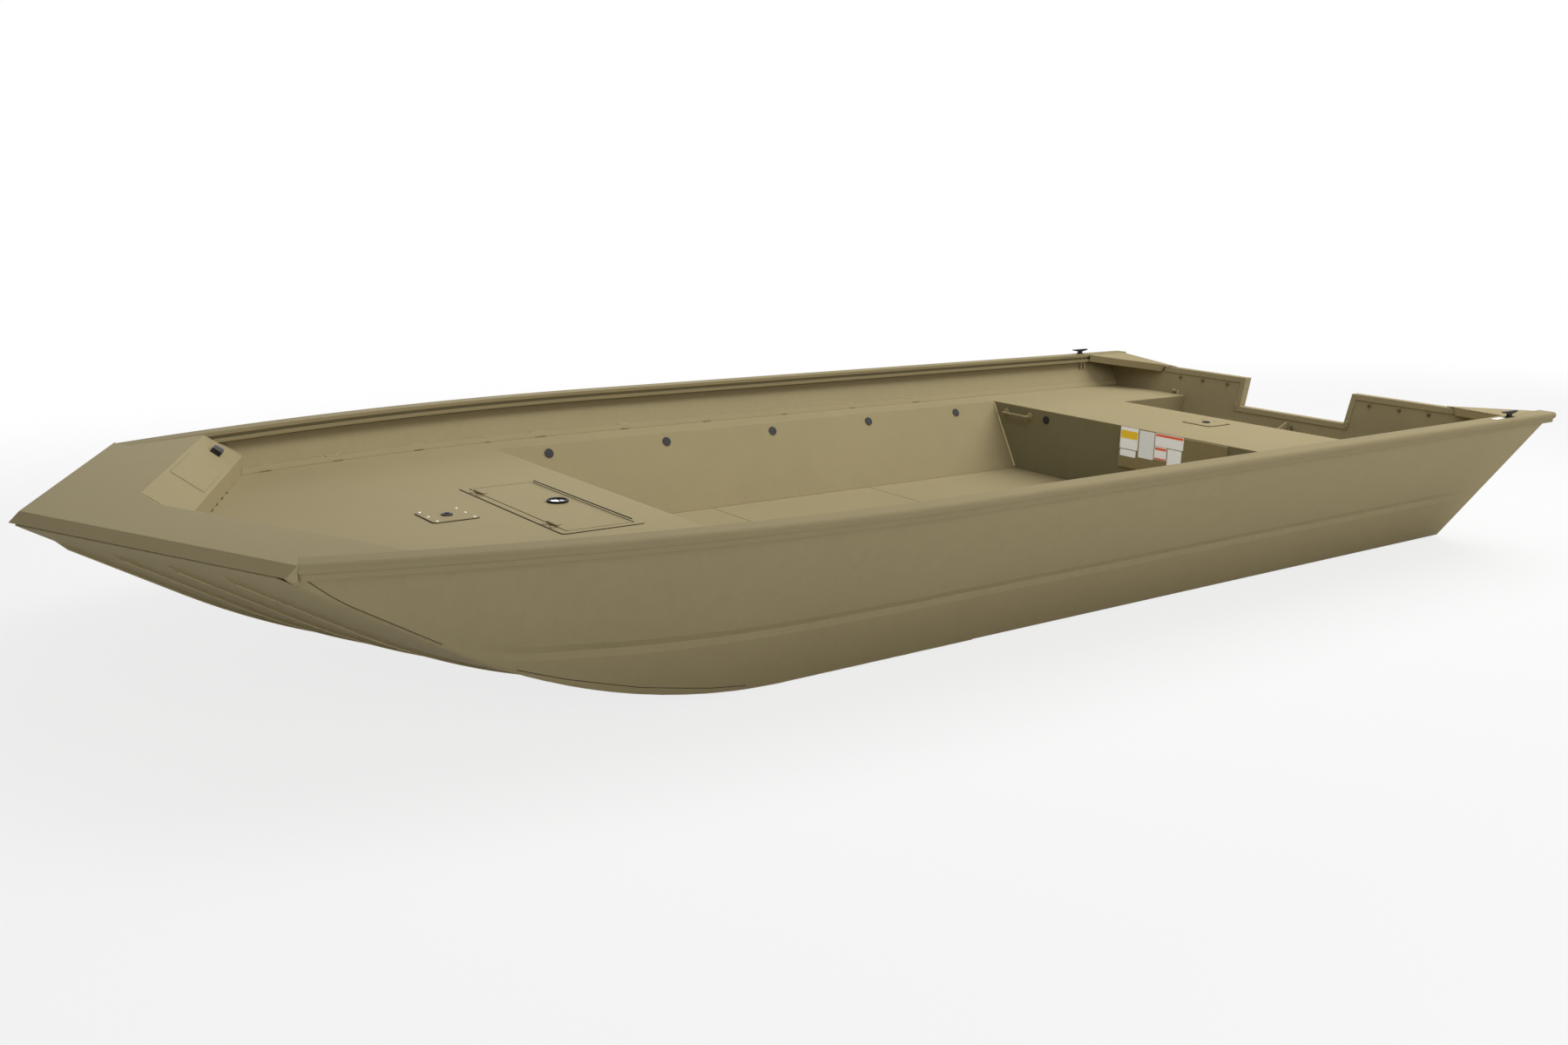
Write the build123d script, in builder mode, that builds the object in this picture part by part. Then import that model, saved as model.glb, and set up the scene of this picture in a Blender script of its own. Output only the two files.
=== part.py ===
from build123d import *
import math
import os

os.makedirs("parts", exist_ok=True)

# A welded flat-bottomed jon boat in millimetres. The model's frame has its origin under
# the middle of the boat, +X towards the bow and +Y to port. The sizes below are given as
# a boat builder gives them: stations run forward from the stern corner, heights run up
# from the underside of the bottom plate, and offsets run out from the centreline.

# Hull form
NOSE = 6031
CORNER_SETBACK = 459
CORNER_TUCK = 356
BOW_TAPER = 2531
WIDEST_HALF = 1319
STERN_TUCK = 24
RAIL_OVERHANG = 20
SIDE_FLARE = 404
SHEER = 625
BOW_DROP = 13
BOW_RADIUS = 2250
BOW_RISE = 563.3
BOW_SLOPE = 30.6
BOW_TUCK = 14
TRANSOM_FOOT = 174.5
TRANSOM_RAKE = 15.4

# Plate thicknesses and fits
SHEET = 4
SKIN = 3
FIT = 0.3

# Strakes under the bottom
STRAKE_COUNT = 4
STRAKE_SPACING = 200
STRAKE_WIDTH = 26
STRAKE_DEPTH = 10
STRAKE_SETBACK = 75
STRAKE_TAPER = 45
STRAKE_AFT = 240

# Pressed groove along each side, which fades out at both ends
GROOVE_HEIGHT = 232
GROOVE_CLIMB = 0.18
GROOVE_HALF = 25
GROOVE_DEPTH = 12
GROOVE_LEAST = 0.5
GROOVE_STOP = 880
GROOVE_FADE = 450
GROOVE_AFT = 150
GROOVE_AFT_FADE = 300

# Gunwale rail, as drawn in its own section, and the gap that it leaves over plates
RAIL_WIDTH = 80
RAIL_TOP = 5
BEAD_RADIUS = 15
LIP_BACK = 9
LIP_WIDTH = 7
LIP_DROP = 44
CHANNEL_BACK = 22
CHANNEL_DROP = 42
CHANNEL_MOUTH = 13
CHANNEL_POCKET = 24
CHANNEL_LIP = 6
CHANNEL_DEPTH = 16
SIDE_TUCK = 26
RAIL_CLEAR = 1

# Bow cap and console
CAP_HEIGHT = 612
CAP_DEPTH = 297
LIP_REACH = 30
CHEEK_FOOT = 568
CONSOLE_DROP = 101
CONSOLE_RUN = 125
CONSOLE_HALF_GAP = 95
CONSOLE_STEP = 3

# Decks, floor and bulkheads
DECK = 447
FRONT_DECK_LENGTH = 1931
DECK_LAP = 30
REAR_DECK_EDGE = 1226.5
LEDGE_WIDTH = 294
PANEL_SPREAD = 186
FLOOR = 120.5
FLOOR_SHARES = (0.3475, 0.6631)
FLOOR_GAP = 3
EDGE_HEIGHT = 22
WELL_EDGE = 599.5
WELL_HALF = 680
WELL_FLOOR = 250

# Transom
TRANSOM_THICK = 40
TRANSOM_TOP = 582
NOTCH_HALF_TOP = 320
NOTCH_HALF_FOOT = 315
NOTCH_HEIGHT = 433
CAP_LEG = 24
CAP_REACH = 860
GUSSET_LENGTH = 300
GUSSET_REACH = 800
GUSSET_FLANGE = 38
GUSSET_BACK = 8
GUSSET_SINK = 2
GUSSET_LAP = 12

# Hatch in the front deck
HATCH_SETBACK = 146
HATCH_LENGTH = 308
HATCH_PORT = 425
HATCH_STARBOARD = -370
HATCH_CORNER = 18
HATCH_RIM = 26
HATCH_PROUD = 3
HATCH_NECK = 24
LID_GAP = 5
LID_LIP = 12
LID_CORNER = 8
BIN_FLOOR = 190
BIN_FLANGE = 15
HINGE_INSET = 120
HINGE_PIN = 4
HINGE_BARREL = 9
HINGE_KNUCKLE = 24
HINGE_LEAF = 2
LEAF_LENGTH = 20
LEAF_REACH = 28
HINGE_LIFT = 0.5
LATCH_SETBACK = 102
LATCH_RADIUS = 36
LATCH_BORE = 30
LATCH_WALL = 4
LATCH_PROUD = 4
LATCH_SINK = 5
PADDLE_GRIP = 38
PADDLE_SLOT = 17
PADDLE_SHIFT = 11

# Seat bases
SEAT_SIZE = 165
SEAT_PLATE = 4
SEAT_CORNER = 14
FRONT_SEAT_SETBACK = 660
REAR_SEAT_STATION = 791.5
REAR_SEAT_OFFSET = 7
SOCKET_RADIUS = 19
SOCKET_BORE = 10
SOCKET_DEPTH = 90
SOCKET_PROUD = 5

# Small fittings
PLUG_COUNT = 5
PLUG_AFT_MARGIN = 293.5
PLUG_FORE_MARGIN = 240
PLUG_HEIGHT = 410
PLUG_RADIUS = 20
PLUG_STEM = 16
PLUG_PROUD = 4
PLUG_DEPTH = 9
BULKHEAD_PLUG_INSET = 381
BULKHEAD_PLUG_HEIGHT = 400
HANDLE_INSET = 98
HANDLE_LENGTH = 169
HANDLE_HEIGHT = 403
HANDLE_ROD = 12
HANDLE_BEND = 19
HANDLE_STANDOFF = 38
HANDLE_PAD = 17
CLEAT_STATION = 330
CLEAT_LENGTH = 112
CLEAT_HEIGHT = 27
CLEAT_BASE = 46
CLEAT_WIDTH = 22
CLEAT_FOOT = 4
HORN_TIP = 4
HORN_ROOT = 12
HORN_HALF = 7.7
ACCESS_INSET = 553
ACCESS_LENGTH = 290
ACCESS_MARGIN = 16
ACCESS_PROUD = 2
RECEPTACLE_INSET = 78
RECEPTACLE_LENGTH = 72
RECEPTACLE_BODY = 43
RECEPTACLE_WIDTH = 38
RECEPTACLE_PROUD = 18
COVER_WIDTH = 30
COVER_PROUD = 15
PANEL_STARBOARD = -150
PANEL_PORT = 470
PANEL_BASE = 252
PANEL_PROUD = 10
KNEE_HEIGHT = 400
KNEE_LENGTH = 330
KNEE_THICK = 6
DRAIN_OFFSET = 120
DRAIN_HEIGHT = 48
DRAIN_RADIUS = 16

# Worked out from the sizes above
MIDDLE = (NOSE + LIP_REACH - RAIL_OVERHANG) / 2
BOTTOM_HALF = WIDEST_HALF - SIDE_FLARE
STERN_HALF = WIDEST_HALF - STERN_TUCK
CORNER_HALF = WIDEST_HALF - CORNER_TUCK
SWEEP = CORNER_SETBACK / CORNER_HALF
SLANT = math.sqrt(1 + SWEEP**2)
RAKE = math.tan(math.radians(TRANSOM_RAKE))
CORNER_STATION = NOSE - CORNER_SETBACK
WIDEST_STATION = NOSE - BOW_TAPER
SIDE_TOP = SHEER - 2 * BEAD_RADIUS
FLARE_SHEET = SHEET * math.hypot(1, (WIDEST_HALF - SIDE_TUCK - BOTTOM_HALF) / SIDE_TOP)
BOW_LEAN = math.radians(BOW_SLOPE)
BOW_TANGENT = BOW_RADIUS * math.tan(BOW_LEAN / 2)
BOW_START = NOSE - BOW_RISE / math.tan(BOW_LEAN) - BOW_TANGENT
BOW_BEND = BOW_START + BOW_TANGENT * (1 + math.cos(BOW_LEAN))
FLAT_JOIN = BOW_START - 2 * SWEEP * BOTTOM_HALF
FOLD = NOSE - CAP_DEPTH
RISER = FOLD - CONSOLE_RUN
CONSOLE_EDGE = CAP_HEIGHT - CONSOLE_DROP
RAIL_FOOT = SHEER - CHANNEL_DROP - BOW_DROP - RAIL_CLEAR
LEDGE_HALF = WIDEST_HALF - LEDGE_WIDTH
FLOOR_HALF = LEDGE_HALF - PANEL_SPREAD
FRONT_DECK_EDGE = NOSE - FRONT_DECK_LENGTH
HATCH_AFT = FRONT_DECK_EDGE + HATCH_SETBACK
HATCH_FORE = HATCH_AFT + HATCH_LENGTH
LATCH_STATION = HATCH_AFT + LATCH_SETBACK
HINGE_OFFSETS = (HATCH_STARBOARD + HINGE_INSET, HATCH_PORT - HINGE_INSET)
SEATS = (
    ("front", FRONT_DECK_EDGE + FRONT_SEAT_SETBACK, 0),
    ("rear", REAR_SEAT_STATION, REAR_SEAT_OFFSET),
)
PLUG_SPAN = (REAR_DECK_EDGE + PLUG_AFT_MARGIN, FRONT_DECK_EDGE - PLUG_FORE_MARGIN)
PLUG_PITCH = (PLUG_SPAN[1] - PLUG_SPAN[0]) / (PLUG_COUNT - 1)
PLUG_STATIONS = [PLUG_SPAN[0] + PLUG_PITCH * number for number in range(PLUG_COUNT)]
HANDLE_OFFSETS = (HANDLE_INSET - LEDGE_HALF, HANDLE_INSET + HANDLE_LENGTH - LEDGE_HALF)
# Both planes that bound the raked transom's own cuts: clear of it aft and ahead of it.
CLEAR_AFT = -2 * RAIL_OVERHANG
CLEAR_AHEAD = WELL_EDGE


def st(station):
    return station - MIDDLE


def up(height):
    return height + STRAKE_DEPTH


# The rail's outer crest in plan: a straight run, then one arc tangent to it.
RUN_SLOPE = math.atan2(WIDEST_HALF - STERN_HALF, WIDEST_STATION)
CHORD_SLOPE = math.atan2(CORNER_HALF - WIDEST_HALF, CORNER_STATION - WIDEST_STATION)
CHORD = math.hypot(CORNER_HALF - WIDEST_HALF, CORNER_STATION - WIDEST_STATION)
PLAN_TURN = RUN_SLOPE - CHORD_SLOPE
PLAN_RADIUS = CHORD / 2 / math.sin(PLAN_TURN)
PLAN_CENTRE = (
    WIDEST_STATION + PLAN_RADIUS * math.sin(RUN_SLOPE),
    WIDEST_HALF - PLAN_RADIUS * math.cos(RUN_SLOPE),
)


def half_beam(station):
    """Offset of the rail's outer crest."""
    if station < WIDEST_STATION:
        return WIDEST_HALF + (station - WIDEST_STATION) * math.tan(RUN_SLOPE)
    across = station - PLAN_CENTRE[0]
    return PLAN_CENTRE[1] + math.sqrt(PLAN_RADIUS**2 - across**2)


def side_top(station):
    """Height of a side sheet's upper edge, which falls with the rail along the bow."""
    if station < WIDEST_STATION:
        return SIDE_TOP
    return SIDE_TOP - BOW_DROP * (WIDEST_HALF - half_beam(station)) / CORNER_TUCK


def bow_height(station):
    """Height of the bottom's underside on the centreline."""
    if station > BOW_BEND:
        return BOW_RISE - (NOSE - station) * math.tan(BOW_LEAN)
    run = max(station - BOW_START, 0)
    return BOW_RADIUS - math.sqrt(BOW_RADIUS**2 - run**2)


def chine_height(station):
    """Height of the chine, where the bottom plate meets the side."""
    return bow_height(station + SWEEP * BOTTOM_HALF)


def rail_point(inset, along):
    """A plan point on the port rail, a distance inboard of its crest.

    The value along is 0 at the rail's aft end, 1 at the end of its straight run, and
    2 at the bow corner.
    """
    if along <= 1:
        aft = -RAIL_OVERHANG
        station = aft + along * (WIDEST_STATION - aft)
        offset = half_beam(station)
        turn = RUN_SLOPE
    else:
        turn = RUN_SLOPE - (along - 1) * 2 * PLAN_TURN
        station = PLAN_CENTRE[0] - PLAN_RADIUS * math.sin(turn)
        offset = PLAN_CENTRE[1] + PLAN_RADIUS * math.cos(turn)
    return st(station + inset * math.sin(turn)), offset - inset * math.cos(turn)


def finish(piece, name):
    piece.part.label = name
    export_step(piece.part, f"parts/{name}.step")


def mirrored(piece, name):
    with BuildPart() as other:
        mirror(piece.part, about=Plane.XZ)
    finish(other, name)


def raked_slab(aft, thick, foot, head):
    """A slab that leans with the transom, between two heights."""
    with BuildPart() as slab:
        with BuildSketch(Plane.XZ):
            Polygon(
                (st(aft) - foot * RAKE, up(foot)),
                (st(aft + thick) - foot * RAKE, up(foot)),
                (st(aft + thick) - head * RAKE, up(head)),
                (st(aft) - head * RAKE, up(head)),
                align=None,
            )
        extrude(amount=2 * WIDEST_HALF, both=True)
    return slab.part


def abaft(station):
    """All that lies aft of a plane that leans with the transom."""
    return raked_slab(station - NOSE, NOSE, -SHEER, 2 * SHEER)


# The bottom is flat aft, and forward it rises in one arc and then straight. Its rulings
# run parallel to the swept bow edge, so that each half of the bow bends in one direction.
def bow_point(below, station):
    """A point of the centreline's profile, a distance below the bottom's underside."""
    turn = math.asin(min((station - BOW_START) / BOW_RADIUS, math.sin(BOW_LEAN)))
    return (
        st(station + below * math.sin(turn)),
        up(bow_height(station) - below * math.cos(turn)),
    )


def bow_arc(below):
    stations = (BOW_START, (BOW_START + BOW_BEND) / 2, BOW_BEND)
    return [bow_point(below, station) for station in stations]


def bow_band(offset, below, above, aft, fore, taper=0):
    """A band that follows the bottom's profile, from below its underside to above it.

    Its lower edge ends a taper's length short of its upper one.
    """
    with BuildSketch(ruled_plane(offset)) as band:
        with BuildLine():
            Polyline(
                (st(BOW_START), up(above)),
                (st(aft), up(above)),
                (st(aft), up(-below)),
                (st(BOW_START), up(-below)),
            )
            ThreePointArc(*bow_arc(below))
            Polyline(
                bow_point(below, BOW_BEND),
                bow_point(below, fore - taper),
                bow_point(-above, fore),
                bow_point(-above, BOW_BEND),
            )
            ThreePointArc(*reversed(bow_arc(-above)))
        make_face()
    return band.sketch


def ruled_plane(offset):
    """The XZ plane at an offset, its origin moved back along the bow's rulings."""
    return Plane(origin=(-SWEEP * offset, offset, 0), x_dir=(1, 0, 0), z_dir=(0, -1, 0))


RULING = (-SWEEP, 1, 0)

# The space inside the hull, out to the side sheets and in from the transom. It trims
# every inner plate to the boat's form, and is no piece of its own.
FORM_SHARES = (0, 0.13, 0.26, 0.386, 0.483, 0.579, 0.67, 0.76, 0.85, 0.93, 1)
FORM_STATIONS = [
    WIDEST_STATION + share * (CORNER_STATION - WIDEST_STATION) for share in FORM_SHARES
]


def space_section(station, inset):
    low = chine_height(station)
    foot = BOTTOM_HALF - inset
    head = half_beam(station) - SIDE_TUCK - inset
    return [
        (-foot, up(low)),
        (foot, up(low)),
        (head, up(SIDE_TOP)),
        (-head, up(SIDE_TOP)),
    ]


def inner_space(inset):
    """The space whose sides lie a distance inside the side sheets' outer faces."""
    with BuildPart() as room:
        for station in (CLEAR_AFT, WIDEST_STATION):
            with BuildSketch(Plane.YZ.offset(st(station))):
                Polygon(*space_section(station, inset), align=None)
        loft(ruled=True)
        for station in FORM_STATIONS:
            with BuildSketch(Plane.YZ.offset(st(station))):
                Polygon(*space_section(station, inset), align=None)
        loft()
        lift = SHEET + FIT
        with BuildSketch(ruled_plane(0)):
            with BuildLine():
                ThreePointArc(*bow_arc(-lift))
                Polyline(
                    bow_point(-lift, BOW_BEND),
                    bow_point(-lift, NOSE),
                    (st(NOSE), up(SIDE_TOP)),
                    (st(FLAT_JOIN), up(SIDE_TOP)),
                    (st(FLAT_JOIN), up(lift)),
                    bow_point(-lift, BOW_START),
                )
            make_face()
        extrude(amount=(BOTTOM_HALF - inset) * SLANT, dir=RULING)
        mirror(about=Plane.XZ)
        with BuildSketch(Plane.XY.offset(up(RAIL_FOOT))):
            Rectangle(2 * NOSE, 4 * WIDEST_HALF)
        extrude(amount=SHEER, mode=Mode.SUBTRACT)
        add(abaft(TRANSOM_FOOT + TRANSOM_THICK + FIT), mode=Mode.SUBTRACT)
    return room.part


with BuildPart() as space:
    add(inner_space(FLARE_SHEET + FIT))
    with BuildSketch(Plane.XY.offset(up(RAIL_FOOT))):
        with BuildLine():
            inset = RAIL_WIDTH + FIT
            aft, run, bend, end = (rail_point(inset, k) for k in (0, 1, 1.5, 2))
            Line(aft, run)
            ThreePointArc(run, bend, end)
            corner = rail_point(0, 2)
            Polyline(end, corner, (st(NOSE + LIP_REACH), 0), (aft[0], 0), aft)
        make_face()
        mirror(about=Plane.XZ)
    extrude(amount=2 * CHANNEL_DROP)
    add(abaft(TRANSOM_FOOT + TRANSOM_THICK + FIT), mode=Mode.SUBTRACT)


# Bottom plate with its strakes.
with BuildPart() as hull_bottom:
    half_width = BOTTOM_HALF - FLARE_SHEET
    plate = bow_band(0, 0, SHEET, FLAT_JOIN, NOSE + BOW_TUCK)
    extrude(plate, amount=half_width * SLANT, dir=RULING)
    with BuildSketch(Plane.XY.offset(up(0))):
        with Locations((st(0), 0)):
            Rectangle(FLAT_JOIN, half_width, align=(Align.MIN, Align.MIN))
    extrude(amount=SHEET)
    for number in range(STRAKE_COUNT):
        far = number * STRAKE_SPACING + STRAKE_WIDTH / 2
        near = max(far - STRAKE_WIDTH, 0)
        strake = bow_band(
            near,
            STRAKE_DEPTH,
            SHEET / 2,
            STRAKE_AFT + SWEEP * near,
            NOSE - STRAKE_SETBACK,
            STRAKE_TAPER,
        )
        extrude(strake, amount=(far - near) * SLANT, dir=RULING)
    mirror(about=Plane.XZ)
    add(abaft(TRANSOM_FOOT), mode=Mode.SUBTRACT)
finish(hull_bottom, "hull_bottom")


# Side sheets, with the pressed groove that fades out at both ends.
def side_section(station):
    low = chine_height(station)
    head = half_beam(station) - SIDE_TUCK
    fade = (NOSE - GROOVE_STOP - station) / GROOVE_FADE
    rise = (station - GROOVE_AFT) / GROOVE_AFT_FADE
    depth = max(GROOVE_DEPTH * min(fade, rise, 1), GROOVE_LEAST)
    spread = min(GROOVE_HALF, (side_top(station) - low) / 4)
    centre = max(GROOVE_HEIGHT + GROOVE_CLIMB * low, low + 1.5 * spread)
    slope = (head - BOTTOM_HALF) / (SIDE_TOP - low)
    outer = []
    for height, inward in (
        (low, 0),
        (centre - spread, 0),
        (centre, depth),
        (centre + spread, 0),
        (side_top(station), 0),
    ):
        outer.append((BOTTOM_HALF + slope * (height - low) - inward, up(height)))
    inner = [(y - FLARE_SHEET, z) for y, z in reversed(outer)]
    return outer + inner


with BuildPart() as hull_side_port:
    for station in (CLEAR_AFT, GROOVE_AFT, GROOVE_AFT + GROOVE_AFT_FADE, WIDEST_STATION):
        with BuildSketch(Plane.YZ.offset(st(station))):
            Polygon(*side_section(station), align=None)
    loft(ruled=True)
    for station in FORM_STATIONS:
        with BuildSketch(Plane.YZ.offset(st(station))):
            Polygon(*side_section(station), align=None)
    loft()
    add(abaft(TRANSOM_FOOT), mode=Mode.SUBTRACT)
finish(hull_side_port, "hull_side_port")
mirrored(hull_side_port, "hull_side_starboard")


# Gunwale rail: a round bead outboard, a lip that laps the side sheet, and a channel
# inboard that takes sliding accessories. Its section runs inboard and down. Along the
# bow the rail falls a little to meet the cap, and its aft end leans with the transom.
with BuildPart() as gunwale_port:
    with BuildLine():
        aft, run, end = (rail_point(0, k) for k in (0, 1, 2))
        height = up(SHEER)
        tangent = (math.cos(RUN_SLOPE), math.sin(RUN_SLOPE), 0)
        Line((*aft, height), (*run, height))
        TangentArc((*run, height), (*end, height - BOW_DROP), tangent=tangent)
    inboard = (math.sin(RUN_SLOPE), -math.cos(RUN_SLOPE), 0)
    with BuildSketch(Plane(origin=(*aft, height), x_dir=inboard, z_dir=tangent)):
        with Locations((BEAD_RADIUS, 0)):
            Rectangle(
                RAIL_WIDTH - BEAD_RADIUS, RAIL_TOP, align=(Align.MIN, Align.MIN)
            )
        with Locations((BEAD_RADIUS, BEAD_RADIUS)):
            Circle(BEAD_RADIUS)
        with Locations((LIP_BACK, BEAD_RADIUS)):
            Rectangle(LIP_WIDTH, LIP_DROP - BEAD_RADIUS, align=(Align.MIN, Align.MIN))
        with Locations((RAIL_WIDTH - CHANNEL_BACK, 0)):
            Rectangle(CHANNEL_BACK, CHANNEL_DROP, align=(Align.MIN, Align.MIN))
        with Locations((RAIL_WIDTH, CHANNEL_DROP / 2)):
            Rectangle(
                2 * CHANNEL_LIP, CHANNEL_MOUTH, mode=Mode.SUBTRACT
            )
        with Locations((RAIL_WIDTH - CHANNEL_LIP, CHANNEL_DROP / 2)):
            Rectangle(
                CHANNEL_DEPTH - CHANNEL_LIP,
                CHANNEL_POCKET,
                align=(Align.MAX, Align.CENTER),
                mode=Mode.SUBTRACT,
            )
    sweep()
    add(abaft(SHEER * RAKE - RAIL_OVERHANG), mode=Mode.SUBTRACT)
finish(gunwale_port, "gunwale_port")
mirrored(gunwale_port, "gunwale_starboard")


# Bow cap: a level chevron plate with a lip turned down over the top of the bow.
with BuildPart() as bow_cap:
    with BuildSketch(Plane.XY.offset(up(CAP_HEIGHT - SHEET))):
        wide = WIDEST_HALF
        Polygon(
            (st(NOSE), 0),
            (st(NOSE - SWEEP * wide), wide),
            (st(FOLD - SWEEP * wide), wide),
            (st(FOLD - SWEEP * CONSOLE_HALF_GAP), CONSOLE_HALF_GAP),
            (st(FOLD - SWEEP * CONSOLE_HALF_GAP), 0),
            align=None,
        )
    extrude(amount=SHEET)
    add(space.part, mode=Mode.INTERSECT)
    with BuildSketch(ruled_plane(0)):
        Polygon(
            (st(NOSE), up(CAP_HEIGHT)),
            (st(NOSE + LIP_REACH), up(CAP_HEIGHT - LIP_REACH)),
            (st(NOSE + LIP_REACH - SHEET), up(CAP_HEIGHT - LIP_REACH)),
            (st(NOSE - SHEET), up(CAP_HEIGHT - SHEET)),
            (st(NOSE - SHEET), up(CAP_HEIGHT)),
            align=None,
        )
    extrude(amount=CORNER_HALF * SLANT, dir=RULING)
    # a cheek closes the lip at the corner, against the rail's end
    with BuildSketch(ruled_plane(CORNER_HALF - 2 * SHEET)):
        Polygon(
            (st(NOSE), up(CAP_HEIGHT)),
            (st(NOSE + LIP_REACH), up(CAP_HEIGHT - LIP_REACH)),
            (st(NOSE + BOW_TUCK), up(CHEEK_FOOT)),
            (st(NOSE), up(CHEEK_FOOT)),
            align=None,
        )
    extrude(amount=2 * SHEET * SLANT, dir=RULING)
    for neighbour in (gunwale_port, hull_side_port, hull_bottom):
        add(neighbour.part, mode=Mode.SUBTRACT)
    mirror(about=Plane.XZ)
finish(bow_cap, "bow_cap")


# Bow console: the sheet that slopes down behind the cap and stands on the deck.
def console_sheet(setback, drop):
    fold = FOLD - setback
    riser = RISER - setback
    Polygon(
        (st(fold), up(CAP_HEIGHT - drop)),
        (st(riser), up(CONSOLE_EDGE - drop)),
        (st(riser), up(DECK)),
        (st(riser + SKIN), up(DECK)),
        (st(riser + SKIN), up(CONSOLE_EDGE - drop - SKIN / 2)),
        (st(fold), up(CAP_HEIGHT - drop - SHEET)),
        align=None,
    )


with BuildPart() as bow_console:
    with BuildSketch(ruled_plane(CONSOLE_HALF_GAP)):
        console_sheet(0, 0)
    extrude(amount=CORNER_HALF * SLANT, dir=RULING)
    with BuildSketch(Plane.XZ):
        console_sheet(SWEEP * CONSOLE_HALF_GAP, CONSOLE_STEP)
    extrude(amount=-CONSOLE_HALF_GAP)
    mirror(about=Plane.XZ)
    add(space.part, mode=Mode.INTERSECT)
finish(bow_console, "bow_console")


# Decks, trimmed to the hull's form.
HATCH_CENTRE = (
    (HATCH_AFT + HATCH_FORE) / 2,
    (HATCH_PORT + HATCH_STARBOARD) / 2,
)
HATCH_SIZE = (HATCH_FORE - HATCH_AFT, HATCH_PORT - HATCH_STARBOARD)
MOUTH_SIZE = (HATCH_SIZE[0] - 2 * HATCH_RIM, HATCH_SIZE[1] - 2 * HATCH_RIM)
NECK_SIZE = (MOUTH_SIZE[0] + 2 * SKIN, MOUTH_SIZE[1] + 2 * SKIN)


def at(station, offset):
    return Locations((st(station), offset))


def swept_outline(aft, fore):
    wide = WIDEST_HALF
    Polygon(
        (st(aft), -wide),
        (st(fore - SWEEP * wide), -wide),
        (st(fore), 0),
        (st(fore - SWEEP * wide), wide),
        (st(aft), wide),
        align=None,
    )


with BuildPart() as front_deck:
    with BuildSketch(Plane.XY.offset(up(DECK - SHEET))):
        swept_outline(FRONT_DECK_EDGE, RISER + DECK_LAP)
        with at(*HATCH_CENTRE):
            Rectangle(NECK_SIZE[0] + 2 * FIT, NECK_SIZE[1] + 2 * FIT, mode=Mode.SUBTRACT)
        with at(SEATS[0][1], SEATS[0][2]):
            Circle(SOCKET_BORE + SKIN + 2 * FIT, mode=Mode.SUBTRACT)
    extrude(amount=SHEET)
    add(space.part, mode=Mode.INTERSECT)
finish(front_deck, "front_deck")

with BuildPart() as rear_deck:
    with BuildSketch(Plane.XY.offset(up(DECK - SHEET))):
        wide = WIDEST_HALF
        with at(REAR_DECK_EDGE, 0):
            Rectangle(REAR_DECK_EDGE, 2 * wide, align=(Align.MAX, Align.CENTER))
        with at(WELL_EDGE, 0):
            Rectangle(
                WELL_EDGE,
                2 * WELL_HALF,
                align=(Align.MAX, Align.CENTER),
                mode=Mode.SUBTRACT,
            )
        with at(SEATS[1][1], SEATS[1][2]):
            Circle(SOCKET_BORE + SKIN + 2 * FIT, mode=Mode.SUBTRACT)
    extrude(amount=SHEET)
    add(space.part, mode=Mode.INTERSECT)
finish(rear_deck, "rear_deck")


# Edge strip: it stands on the decks and the ledges along the side sheet.
with BuildPart() as deck_edge_port:
    with BuildSketch(Plane.XY.offset(up(DECK))):
        swept_outline(0, RISER - FIT)
    extrude(amount=EDGE_HEIGHT)
    add(inner_space(FLARE_SHEET + 3 * FIT), mode=Mode.INTERSECT)
    add(inner_space(2 * FLARE_SHEET), mode=Mode.SUBTRACT)
    split(bisect_by=Plane.XZ, keep=Keep.BOTTOM)
finish(deck_edge_port, "deck_edge_port")
mirrored(deck_edge_port, "deck_edge_starboard")


# Side panels: a ledge level with the decks, then a panel that leans in to the floor.
LEAN = (LEDGE_HALF - FLOOR_HALF) / (DECK - FLOOR)
LEAN_SKIN = SKIN / math.cos(math.atan(LEAN))


def panel_offset(height):
    return FLOOR_HALF + LEAN * (height - FLOOR)


with BuildPart() as side_panel_port:
    with BuildSketch(Plane.YZ.offset(st(REAR_DECK_EDGE))):
        Polygon(
            (WIDEST_HALF, up(DECK)),
            (LEDGE_HALF, up(DECK)),
            (FLOOR_HALF, up(FLOOR)),
            (FLOOR_HALF + LEAN_SKIN, up(FLOOR)),
            (panel_offset(DECK - SHEET) + LEAN_SKIN, up(DECK - SHEET)),
            (WIDEST_HALF, up(DECK - SHEET)),
            align=None,
        )
    extrude(amount=FRONT_DECK_EDGE - REAR_DECK_EDGE)
    add(space.part, mode=Mode.INTERSECT)
    lean_plane = Plane(
        origin=(0, panel_offset(PLUG_HEIGHT), up(PLUG_HEIGHT)),
        x_dir=(1, 0, 0),
        z_dir=(0, -math.cos(math.atan(LEAN)), math.sin(math.atan(LEAN))),
    )
    with BuildSketch(lean_plane):
        for station in PLUG_STATIONS:
            with Locations((st(station), 0)):
                Circle(PLUG_STEM + FIT)
    extrude(amount=PLUG_DEPTH, both=True, mode=Mode.SUBTRACT)
finish(side_panel_port, "side_panel_port")
mirrored(side_panel_port, "side_panel_starboard")

with BuildPart() as panel_plugs_port:
    for station in PLUG_STATIONS:
        with BuildSketch(lean_plane):
            with Locations((st(station), 0)):
                Circle(PLUG_RADIUS)
        extrude(amount=PLUG_PROUD)
        with BuildSketch(lean_plane):
            with Locations((st(station), 0)):
                Circle(PLUG_STEM)
        extrude(amount=-PLUG_DEPTH)
finish(panel_plugs_port, "panel_plugs_port")
mirrored(panel_plugs_port, "panel_plugs_starboard")


# Bulkheads between the side panels, under the edges of the two decks.
BULKHEAD_PLUG = (BULKHEAD_PLUG_INSET - LEDGE_HALF, BULKHEAD_PLUG_HEIGHT)


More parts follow.
